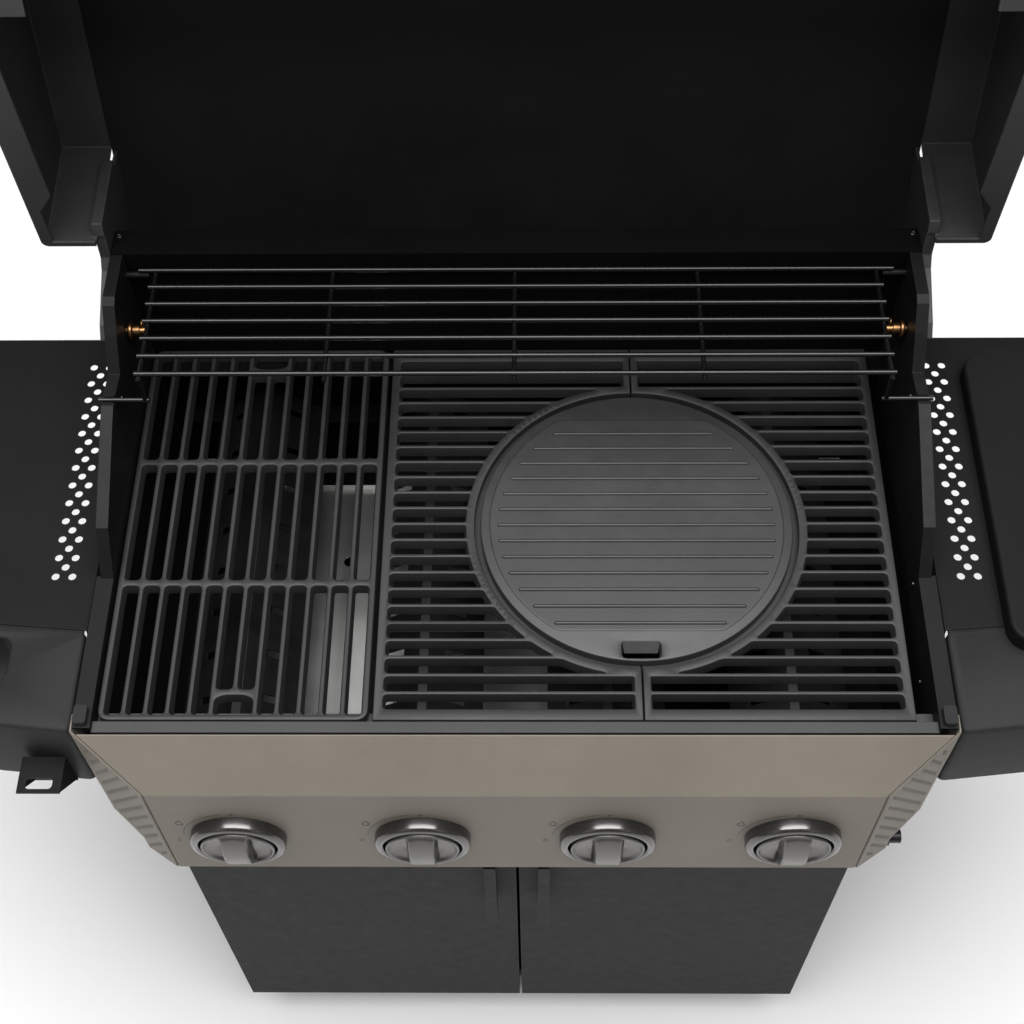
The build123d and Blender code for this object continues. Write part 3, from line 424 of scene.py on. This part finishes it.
def lathe(bm, profile, centre, axis, steps=72):
    """Adds a turned form; profile is (radius, distance along axis) in mm, closed where the radius is 0."""
    axis = Vector(axis).normalized()
    side = axis.orthogonal().normalized()
    other = axis.cross(side)
    centre = Vector(centre)
    rings = []
    for radius, along in profile:
        middle = centre + axis * along * MM
        if radius < 1e-6:
            rings.append([bm.verts.new(middle)])
        else:
            spokes = [side * cos(2 * pi * i / steps) + other * sin(2 * pi * i / steps) for i in range(steps)]
            rings.append([bm.verts.new(middle + spoke * radius * MM) for spoke in spokes])
    for a, b in zip(rings, rings[1:]):
        for i in range(steps):
            j = (i + 1) % steps
            if len(a) == 1 and len(b) == 1:
                continue
            if len(a) == 1:
                bm.faces.new((a[0], b[j], b[i]))
            elif len(b) == 1:
                bm.faces.new((a[i], a[j], b[0]))
            else:
                bm.faces.new((a[i], a[j], b[j], b[i]))


def wire(name, points, radius, body, material):
    """Round wire along points in metres, as a mesh; radius is in millimetres."""
    curve = bpy.data.curves.new(name, "CURVE")
    curve.dimensions = "3D"
    curve.bevel_depth = radius * MM
    curve.bevel_resolution = 4
    curve.use_fill_caps = True
    spline = curve.splines.new("NURBS")
    spline.points.add(len(points) - 1)
    for target, point in zip(spline.points, points):
        target.co = (*point, 1)
    spline.order_u = 3
    spline.use_endpoint_u = True
    spline.resolution_u = 6
    holder = bpy.data.objects.new(name + "_line", curve)
    bpy.context.scene.collection.objects.link(holder)
    bpy.context.view_layer.update()
    mesh = bpy.data.meshes.new_from_object(holder.evaluated_get(bpy.context.evaluated_depsgraph_get()))
    bpy.data.objects.remove(holder)
    mesh.name = name
    mesh.materials.clear()
    piece(name, mesh, body, material)


# ---------------------------------------------------------------- cast grates
(GRATE_X0, LEFT_X1), (GRATE_Y0, GRATE_Y1), (GRATE_LOW, GRATE_TOP) = local_box("grate_left")
CENTRE_X = local_box("grate_centre")[0]
RIGHT_X = local_box("grate_right")[0]
RING_R, RING_RIM = 155.5, 8.6                 # the round hole and the rim about it
LEDGE_R = RING_R - 9                          # what the griddle rests on
SLOT_PITCH, SLOT_FIRST, SLOT_COUNT, SLOT_WIDE = 18.07, -197.2, 22, 14.3
COLUMN_PITCH, COLUMN_FIRST, COLUMN_COUNT, COLUMN_WIDE = 19.73, -369.0, 12, 15.3
COLUMN_ROWS = ((-203, -69.5), (-63, 68.5), (75, 207))
GRIP_COLUMNS = (5, 6)                         # the columns with a finger hole at each end
GRIP_FRONT, GRIP_REAR = -177.5, 180.5         # where the gaps in those columns start and end
GRIDDLE_R, PLATEAU_R, RIDGE_R = 149.8, 141.5, 133.5
PLATEAU_FRONT, PLATEAU_REAR = -119.0, 121.0
RIDGE_COUNT, RIDGE_FIRST, RIDGE_PITCH = 13, 103.6, 17.85


def left_grate():
    """Grate of lengthwise bars in three rows, with a finger hole at the front and one at the rear."""
    holes = []
    for y0, y1 in COLUMN_ROWS:
        for i in range(COLUMN_COUNT):
            x0 = COLUMN_FIRST + i * COLUMN_PITCH
            low, high = y0, y1
            if i in GRIP_COLUMNS:
                low, high = max(low, GRIP_FRONT), min(high, GRIP_REAR)
            holes.append(rounded(rectangle(x0, x0 + COLUMN_WIDE, low, high), 4.5))
    a = COLUMN_FIRST + GRIP_COLUMNS[0] * COLUMN_PITCH
    b = a + COLUMN_PITCH + COLUMN_WIDE
    middle = (a + b) / 2
    first, last = COLUMN_ROWS[0][0], COLUMN_ROWS[-1][1]
    front = [(a, first), (b, first), (b, -187), (middle + 9, -183.5), (middle - 9, -183.5), (a, -187)]
    rear = [(a, last), (b, last), (b, 190.5), (middle + 9, 187.5), (middle - 9, 187.5), (a, 190.5)]
    holes += [rounded(front, 4), rounded(rear, 4)]
    bm = bmesh.new()
    outline = rounded(rectangle(GRATE_X0, LEFT_X1, GRATE_Y0, GRATE_Y1), 12, 8)
    plate(bm, outline, holes, GRATE_TOP, GRATE_LOW, 1.3, 1.6)
    piece("grate_left_casting", bm, "left_grate", iron, ("grate_left",))


def ring_arc(radius, reach, side, grow=0.0, steps=72):
    """Arc about the ring's centre that ends on the line at reach from it, drawn at radius + grow."""
    turn = sqrt(radius ** 2 - reach ** 2)
    start = atan2(-turn, side * reach)
    sweep = side * 2 * atan2(turn, reach)
    return circle(RING_X, 0, radius + grow, steps, start, start + sweep)


def ring_half(name, node, side):
    """Half of the ring grate; side is -1 for the left half and 1 for the right."""
    x0, x1 = CENTRE_X if side < 0 else RIGHT_X
    seam, far = (x1, x0) if side < 0 else (x0, x1)
    reach = abs(seam - RING_X)
    arc = ring_arc(RING_R, reach, side)
    outline = [(seam, GRATE_Y0), *arc, (seam, GRATE_Y1), (far, GRATE_Y1), (far, GRATE_Y0)]
    rim = RING_R + RING_RIM
    holes = []
    for i in range(SLOT_COUNT):
        low = SLOT_FIRST + i * SLOT_PITCH
        high = low + SLOT_WIDE
        edge = far - side * 8.5
        ends = []
        for k in range(5):
            y = low + (high - low) * k / 4
            stop = seam + side * 7.0
            if abs(y) < rim:
                chord = RING_X + side * sqrt(rim ** 2 - y * y)
                stop = max(stop, chord) if side > 0 else min(stop, chord)
            ends.append((stop, y))
        hole = [(edge, high), (edge, low), *ends]
        holes.append(rounded(hole, 4.0, 3))
    bm = bmesh.new()
    plate(bm, outline, holes, GRATE_TOP, GRATE_LOW, 1.3, 1.8)
    inner = ring_arc(LEDGE_R, reach, side, 0.0, 60)
    outer = ring_arc(RING_R, reach, side, 1.0, 60)
    plate(bm, inner + outer[::-1], [], GRATE_LOW + 3, GRATE_LOW + 0.2, 0.5)
    piece(name, bm, "ring_grates", iron, (node,))


def griddle():
    """Round plate with a raised, ridged middle and a finger slot whose rear wall slopes down."""
    cx = RING_X
    bm = bmesh.new()
    slot_hole = rounded(rectangle(cx - 18, cx + 18, -146, -129), 5, 5)
    low = GRATE_LOW + 3.3
    plate(bm, circle(cx, 0, GRIDDLE_R, 160), [slot_hole], 1.0, low, 1.8, 1.2)
    plateau = []
    for step in circle(0, 0, PLATEAU_R, 160):
        plateau.append((cx + step.x, max(PLATEAU_FRONT, min(PLATEAU_REAR, step.y))))
    ordered = []
    for point in plateau:
        if not ordered or hypot(point[0] - ordered[-1][0], point[1] - ordered[-1][1]) > 0.4:
            ordered.append(point)
    dome(bm, ordered, [(0, 0.6), (0.2, 1.1), (0.9, 1.7), (2.0, 1.8)])
    for i in range(RIDGE_COUNT):
        y = RIDGE_FIRST - i * RIDGE_PITCH
        half = sqrt(RIDGE_R ** 2 - (y + 3.5) ** 2)
        shape = rounded(rectangle(cx - half, cx + half, y - 1.9, y + 1.9), 1.85, 5)
        dome(bm, shape, [(0, 1.5), (0.3, 2.7), (0.8, 3.3), (1.5, 3.5)])
    hull = bmesh.new()
    for y, z, half in ((-128.6, 0.6, 17.5), (-137.5, -7.0, 15.5), (-128.6, low, 17.5), (-137.5, low, 15.5)):
        for sx in (-1, 1):
            hull.verts.new(at(cx + sx * half, y, z))
    bmesh.ops.convex_hull(hull, input=hull.verts)
    holder = bpy.data.meshes.new("ramp")
    hull.to_mesh(holder)
    hull.free()
    bm.from_mesh(holder)
    piece("griddle_casting", bm, "griddle", plate_iron_painted_light, ("griddle_insert",))


left_grate()
ring_half("grate_centre_casting", "grate_centre", -1)
ring_half("grate_right_casting", "grate_right", 1)
griddle()

# ------------------------------------------------------------- control panel
FACE_Y = -262.0
KNOB_Z = -141.5
BURNERS_X = (-262.5, -87.5, 87.5, 262.5)
FACE_HALF, BAND_HALF, BAND_BACK = 337.0, 391.0, -226.0
CREASE_Z, PANEL_TOP, PANEL_LOW = -47.0, 4.0, -225.0
HEM_X, HEM_TOP = 394.7, 8.0
SHEET = 1.5
TIP_Z, STEP_Z, STEP_OUT = -164, -199, 37      # the wing's lower edge, from its tip in to the step at its foot
ROW_COUNT, ROW_FIRST, ROW_SLANT, ROW_PITCH = 12, 69.6, 1.57, 23.2         # rows of the wings' slots
PUNCH_COUNT, PUNCH_PITCH, PUNCH_HALF, PUNCH_WIDE = 16, 4.0, 4.6, 1.9      # slots in a row


def wing_place(side):
    """Placement on a wing: (distance out from the panel's face, height, how far it stands proud)."""
    run = Vector((BAND_HALF - FACE_HALF, BAND_BACK - FACE_Y)).normalized()

    def place(p):
        out, z, proud = p
        return at(side * (FACE_HALF + run.x * out + run.y * proud), FACE_Y + run.y * out - run.x * proud, z)

    return place


def wing(bm, side):
    """Slotted wing: upright slots in slanting rows, with a hem folded back along its outer edge."""
    long = hypot(BAND_HALF - FACE_HALF, BAND_BACK - FACE_Y)
    outline = [(0, CREASE_Z), (long, PANEL_TOP), (long + 4.4, HEM_TOP), (long + 1, TIP_Z), (STEP_OUT, STEP_Z),
               (STEP_OUT, PANEL_LOW), (0, PANEL_LOW)]
    holes = []
    for row in range(ROW_COUNT):
        for column in range(PUNCH_COUNT):
            out = (column + 1) * PUNCH_PITCH
            z = ROW_FIRST - ROW_SLANT * out - row * ROW_PITCH
            top, low = z + PUNCH_HALF, z - PUNCH_HALF
            upper = CREASE_Z + (PANEL_TOP - CREASE_Z) * out / long
            slope = TIP_Z + (STEP_Z - TIP_Z) * (long - out) / (long - STEP_OUT)
            lower = slope if out > STEP_OUT else PANEL_LOW
            near_step = out > STEP_OUT - 3.5 and low < STEP_Z + 5
            if out < 5 or out > long - 3.4 or top > upper - 3.5 or low < lower + 4 or near_step:
                continue
            holes.append(rounded(rectangle(out - PUNCH_WIDE / 2, out + PUNCH_WIDE / 2, low, top), 0.9, 2))
    plate(bm, outline, holes, 0.0, -SHEET, 0.15, 0.0, wing_place(side), 0.1)
    hem = rounded(rectangle(BAND_BACK + 2.6, BAND_BACK + 20, CREASE_Z, HEM_TOP), 1.5, 3)
    dome(bm, hem, [(0.3, HEM_X - SHEET), (0, HEM_X - SHEET + 0.2), (0, HEM_X - 0.3), (0.3, HEM_X)],
         lambda p: at(side * p[2], p[0], p[1]))


wings = bmesh.new()
wing(wings, 1)
wing(wings, -1)
piece("panel_wings_slotted", wings, "cart", taupe, ("panel_wings",))


def wing_shade_sheet():
    """Black sheet behind each wing's slots: painted shade standing for the dark space seen through them."""
    bm = bmesh.new()
    outline = [(3, CREASE_Z - 3), (60, -4), (60, -158), (34, -194), (34, -220), (3, -220)]
    for side in (-1, 1):
        dome(bm, outline, [(0, -4.0), (0, -5.0)], wing_place(side))
    piece("wing_shade_sheet", bm, "cart", shadow_black)


wing_shade_sheet()


def bezel_rings():
    """Turned ring round each knob."""
    profile = [(36.6, 0.2), (36.6, 9.0), (37.2, 12.0), (38.6, 13.4), (40.2, 13.5), (43.4, 12.4), (44.9, 10.6),
               (45.5, 8.6), (45.5, 0.2), (36.6, 0.2)]
    bm = bmesh.new()
    for x in BURNERS_X:
        lathe(bm, profile, at(x, FACE_Y, KNOB_Z), (0, -1, 0), 96)
    piece("bezels_turned", bm, "cart", bezel_metal, ("knob_bezels",), 50)


KNOB_FRONT = 15.0                             # how far the knob's rim stands off the panel
GRIP_RISE, GRIP_HALF = 9.5, 12.0              # the grip's arch above the rim, and half its width
GRIP_ROUND, GRIP_BLEND = 1.2, 2.2             # how far the grip's edge rounds down, and its foot's width
SCOOP_DEEP, SCOOP_AT, SCOOP_HALF = 5.2, 22.0, 11.5


def knob_depth(x, z):
    """How far the knob's front stands off the panel at a point, in mm."""
    radius = hypot(x, z)
    arch = KNOB_FRONT + GRIP_RISE * max(0.0, 1 - (z / 34.0) ** 2)
    away = abs(x) - GRIP_HALF
    if away <= 0:
        return arch - GRIP_ROUND * max(0.0, (away + 2.0) / 2.0) ** 2
    edge = min(1.0, away / GRIP_BLEND)
    blend = edge * edge * (3 - 2 * edge)
    scoop = SCOOP_DEEP * max(0.0, 1 - ((radius - SCOOP_AT) / SCOOP_HALF) ** 2) ** 0.6
    return (arch - GRIP_ROUND) * (1 - blend) + (KNOB_FRONT - scoop) * blend


def knob_mesh(centre, size=1.0, steps=96, rings=22):
    """Round knob with an arched grip between two finger recesses; centre is on the panel's face."""
    bm = bmesh.new()
    skirt = [(0, 5.4), (34.2, 5.4), (35, 6.2), (35, 13.8), (34.2, 14.8), (33.0, KNOB_FRONT)]
    lathe(bm, [(radius * size, depth) for radius, depth in skirt], centre, (0, -1, 0), steps)
    rim = [v for v in bm.verts if abs((v.co - centre).y + KNOB_FRONT * MM) < 2e-5]
    rim.sort(key=lambda v: atan2((v.co - centre).z, (v.co - centre).x))
    previous = rim
    for k in range(1, rings):
        ring = []
        for v in rim:
            away = (v.co - centre) / MM * (1 - k / rings)
            depth = knob_depth(away.x / size, away.z / size)
            ring.append(bm.verts.new(centre + Vector((away.x, -depth, away.z)) * MM))
        for i in range(steps):
            j = (i + 1) % steps
            bm.faces.new((previous[i], previous[j], ring[j], ring[i]))
        previous = ring
    bm.faces.new(previous)
    return bm


bezel_rings()
for number, x in enumerate(BURNERS_X, 1):
    knob = f"knob_{number}"
    piece(knob + "_turned", knob_mesh(at(x, FACE_Y, KNOB_Z)), knob, knob_metal, (knob,), 30)
side_knob = local_box("knob_side")
side_x, side_z = sum(side_knob[0]) / 2, sum(side_knob[2]) / 2
piece("knob_side_turned", knob_mesh(at(side_x, side_knob[1][1] + 5, side_z), 0.7), "knob_side", knob_metal,
      ("knob_side",), 30)


def on_face(x, z):
    """Placement on the panel's face, about a point of it."""
    return lambda p: at(x + p[0], FACE_Y - p[2], z + p[1])


def panel_marks():
    """Printed marks round each knob: a pointer dot, a thin arc and two small flames."""
    flame = [(0, -5), (3.4, -3.2), (4, 0), (1.8, 4.5), (0, 7.5), (-1.4, 3.6), (-3.6, 1.2), (-3.4, -3.2)]
    ink_levels = [(0, 0.02), (0.02, 0.12)]
    arc_span = radians(100), radians(178)
    arc = circle(0, 0, 52.25, 40, *arc_span) + circle(0, 0, 51.75, 40, *arc_span)[::-1]
    bm = bmesh.new()
    for x in BURNERS_X:
        dome(bm, circle(0, 0, 1.6, 16), ink_levels, on_face(x, KNOB_Z + 51))
        dome(bm, arc, ink_levels, on_face(x, KNOB_Z))
        for angle, size in ((150, 1.0), (190, 0.6)):
            ring = rounded([(px * size, pz * size) for px, pz in flame], 1.5 * size, 3)
            middle = on_face(x + 60 * cos(radians(angle)), KNOB_Z + 60 * sin(radians(angle)))
            plate(bm, ring, [[p * 0.8 for p in ring]], 0.1, 0.02, 0.01, 0.0, middle, 0.01)
    piece("panel_marks", bm, "cart", ink)


panel_marks()


# ------------------------------------------------------------- shelf fronts
def shelf_front(name, node, side, holes):
    """Moulded front of a shelf, with a tongue that runs in under the shelf's steel top."""
    z0, z1 = local_box(node)[2]
    outline = [(398.3, -114.5), (665, -92.5), (665, -170), (645, -191), (398.3, -218)]
    outline = rounded([(side * x, y) for x, y in outline], 9, 6)
    bm = bmesh.new()
    plate(bm, outline, holes, z1, z0, 5.0, 0.0, None, 1.5)
    tongue = [(side * x, y) for x, y in ((401, -119), (662, -97), (662, -84), (401, -106))]
    plate(bm, tongue, [], z1 - SHEET - 0.3, z1 - 4, 0.3)
    piece(name, bm, "cart", plastic, (node,))


hand_hole = rounded(rectangle(-600, -468, -165, -122), 12, 6)
shelf_front("left_front_moulding", "left_shelf_front", -1, [hand_hole])
shelf_front("right_front_moulding", "right_shelf_front", 1, [])


# ------------------------------------------------------------------ small parts
def screw(bm, centre, axis, radius=3.4, height=1.7):
    """Domed screw head with a round recess."""
    profile = [(radius, 0.0), (radius, height * 0.35), (radius * 0.85, height * 0.8), (radius * 0.5, height),
               (radius * 0.34, height * 0.9), (radius * 0.2, height * 0.4), (0, height * 0.35)]
    lathe(bm, profile, centre, axis, 20)


def screws():
    """Screws in the firebox's sides, and one behind each end of the rear strip."""
    bm = bmesh.new()
    for sign in (-1, 1):
        for y, z in ((-150, -40), (-60, -14), (95, 75), (185, 60)):
            screw(bm, at(sign * 376.9, y, z), (-sign, 0, 0), 2.4, 1.3)
        screw(bm, at(sign * 383, 236, 147), (0, 0, 1), 3.2)
    piece("frame_screws", bm, "cart", zinc)


screws()


PIN_LONG = 43.5
PIN_HEIGHT = 93.0
pin_box = local_box("hinge_pins")
PIN_INNER, PIN_Y = pin_box[0][1] - PIN_LONG, sum(pin_box[1]) / 2
CLIP_X = PIN_INNER + 4.6


def hinge(bm, side):
    """Brass hinge pin with a stepped collar, and a washer."""
    profile = [(0, 0), (3.2, 0), (4.0, 0.8), (4.0, 12), (4.0, 14.4), (8.0, 14.6), (8.4, 15.2), (8.4, 17.4),
               (8.0, 18.0), (4.0, 18.0), (4.0, 39.4), (6.8, 39.6), (7.0, 40), (7.0, 42.9), (6.5, PIN_LONG),
               (0, PIN_LONG)]
    lathe(bm, profile, at(side * PIN_INNER, PIN_Y, PIN_HEIGHT), (side, 0, 0), 40)
    washer = [(5.2, 0), (5.6, 0.4), (5.6, 6.6), (5.2, 7.0), (4.02, 7.0), (4.02, 0), (5.2, 0)]
    lathe(bm, washer, at(side * (PIN_INNER + 7.2), PIN_Y, PIN_HEIGHT), (side, 0, 0), 32)


pins = bmesh.new()
hinge(pins, -1)
hinge(pins, 1)
piece("hinge_pins_turned", pins, "cart", brass, ("hinge_pins",), 40)
CLIP_LOOP = ((0, -11), (0, 0), (0, 6), (1, 9), (6, 9.5), (7.4, 4), (5.4, 0), (6.6, -5), (6.2, -9))
for sign, label in ((-1, "left"), (1, "right")):
    loop = [at(sign * CLIP_X, PIN_Y + y, PIN_HEIGHT + z) for y, z in CLIP_LOOP]
    wire(f"spring_clip_{label}", loop, 0.9, "cart", brass)


# ------------------------------------------------------- thermometer dial face
DIAL_Y, DIAL_Z = -262, 115                    # middle of the dial with the lid closed
LID_PIVOT = Vector((0, 163, 93))
LID_OPEN = Matrix.Rotation(radians(-105), 4, "X")
DIAL_START, DIAL_SWEEP, DIAL_MARKS = 220, 260, 12


def thermometer_face():
    """Bezel, dial, tick marks and needle on the lid's thermometer."""

    def place(p):
        """Points on the closed lid's dial, carried to the open lid."""
        x, z, out = p
        there = LID_OPEN @ (Vector((x, DIAL_Y - out, DIAL_Z + z)) - LID_PIVOT) + LID_PIVOT
        return at(*there)

    centre = place((0, 0, 0))
    axis = (place((0, 0, 10)) - centre).normalized()
    bm = bmesh.new()
    ring = [(30, -3), (30, 0), (29, 1.4), (27.5, 1.8), (26, 1.2), (25.6, 0.2), (30, -3)]
    lathe(bm, ring, centre, axis, 72)
    piece("dial_rim", bm, "lid", steel_x, (), 40)
    face = bmesh.new()
    dome(face, circle(0, 0, 25.8, 64), [(0, 0.02), (0.1, 0.35)], place)
    piece("dial_card", face, "lid", dial_white)
    marks = bmesh.new()
    for i in range(DIAL_MARKS + 1):
        angle = radians(DIAL_START - i * DIAL_SWEEP / DIAL_MARKS)
        reach = 18.0 if i % 2 == 0 else 20.5
        a, b = Vector((cos(angle), sin(angle))), Vector((-sin(angle), cos(angle)))
        tick = [a * reach - b * 0.5, a * 23.5 - b * 0.5, a * 23.5 + b * 0.5, a * reach + b * 0.5]
        dome(marks, tick, [(0, 0.3), (0.02, 0.5)], place)
    a = Vector((cos(radians(DIAL_START)), sin(radians(DIAL_START))))
    b = Vector((-a.y, a.x))
    needle = [a * -5 - b * 1.1, a * 19, a * -5 + b * 1.1]
    dome(marks, needle, [(0, 0.55), (0.02, 0.9)], place)
    dome(marks, circle(0, 0, 2.4, 20), [(0, 0.8), (0.5, 1.4)], place)
    piece("dial_marks", marks, "lid", ink)


thermometer_face()

# ---------------------------------------------------------------------- stage
FLOOR_HALF, FLOOR_TONE = 9.0, (0.93, 0.93, 0.93)
OVERHEAD_WATTS, FRONT_WATTS, SKY_STRENGTH = 262, 5, 0.19
floor = bmesh.new()
bmesh.ops.create_grid(floor, x_segments=40, y_segments=40, size=FLOOR_HALF)
floor_mesh = bpy.data.meshes.new("floor")
floor.to_mesh(floor_mesh)
floor.free()
ground = bpy.data.objects.new("floor", floor_mesh)
ground.location = (0, 0, cad_bounds[0][2] - 0.0005)
bpy.context.scene.collection.objects.link(ground)
pale, _, pale_shader = new_material("pale_floor")
pale_shader.inputs["Base Color"].default_value = (*FLOOR_TONE, 1)
pale_shader.inputs["Roughness"].default_value = 0.9
floor_mesh.materials.append(pale)


def softbox(name, place, aim, size, watts):
    """Rectangular area light at a place, aimed at a point, both in metres."""
    light = bpy.data.lights.new(name, "AREA")
    light.shape = "RECTANGLE"
    light.size, light.size_y = size
    light.energy = watts
    lamp = bpy.data.objects.new(name, light)
    lamp.location = place
    lamp.rotation_euler = (Vector(aim) - Vector(place)).to_track_quat("-Z", "Y").to_euler()
    bpy.context.scene.collection.objects.link(lamp)


softbox("overhead", (0.0, -0.5, 4.2), (0, -0.2, 0.6), (4.0, 3.0), OVERHEAD_WATTS)
softbox("front_left", (-2.6, -3.4, 2.8), (0, -0.1, 0.7), (2.0, 2.0), FRONT_WATTS)
softbox("front_right", (2.6, -3.4, 2.8), (0, -0.1, 0.7), (2.0, 2.0), FRONT_WATTS)
world = bpy.data.worlds.new("studio")
world.use_nodes = True
world.node_tree.nodes["Background"].inputs["Color"].default_value = (1, 1, 1, 1)
world.node_tree.nodes["Background"].inputs["Strength"].default_value = SKY_STRENGTH
bpy.context.scene.world = world
bpy.context.scene.view_settings.view_transform = "Standard"

# --------------------------------------------------------------------- camera
CAMERA_PLACE = at(19.44, -829.21, 1310.53)
CAMERA_PITCH, CAMERA_YAW, CAMERA_ROLL = 0.999747, -0.0266908, -0.0236511
CAMERA_LENS, CAMERA_SENSOR = 56.63, 36.0
forward = Vector((sin(CAMERA_YAW) * cos(CAMERA_PITCH), cos(CAMERA_YAW) * cos(CAMERA_PITCH),
                  -sin(CAMERA_PITCH)))
level = Vector((cos(CAMERA_YAW), -sin(CAMERA_YAW), 0))
rising = level.cross(forward)
right = level * cos(CAMERA_ROLL) + rising * sin(CAMERA_ROLL)
upright = rising * cos(CAMERA_ROLL) - level * sin(CAMERA_ROLL)
camera_data = bpy.data.cameras.new("camera")
camera_data.lens = CAMERA_LENS
camera_data.sensor_width = CAMERA_SENSOR
camera_data.clip_start = 0.05
camera = bpy.data.objects.new("camera", camera_data)
camera.matrix_world = Matrix((right, upright, -forward)).transposed().to_4x4()
camera.location = CAMERA_PLACE
bpy.context.scene.collection.objects.link(camera)
bpy.context.scene.camera = camera

bpy.context.view_layer.update()
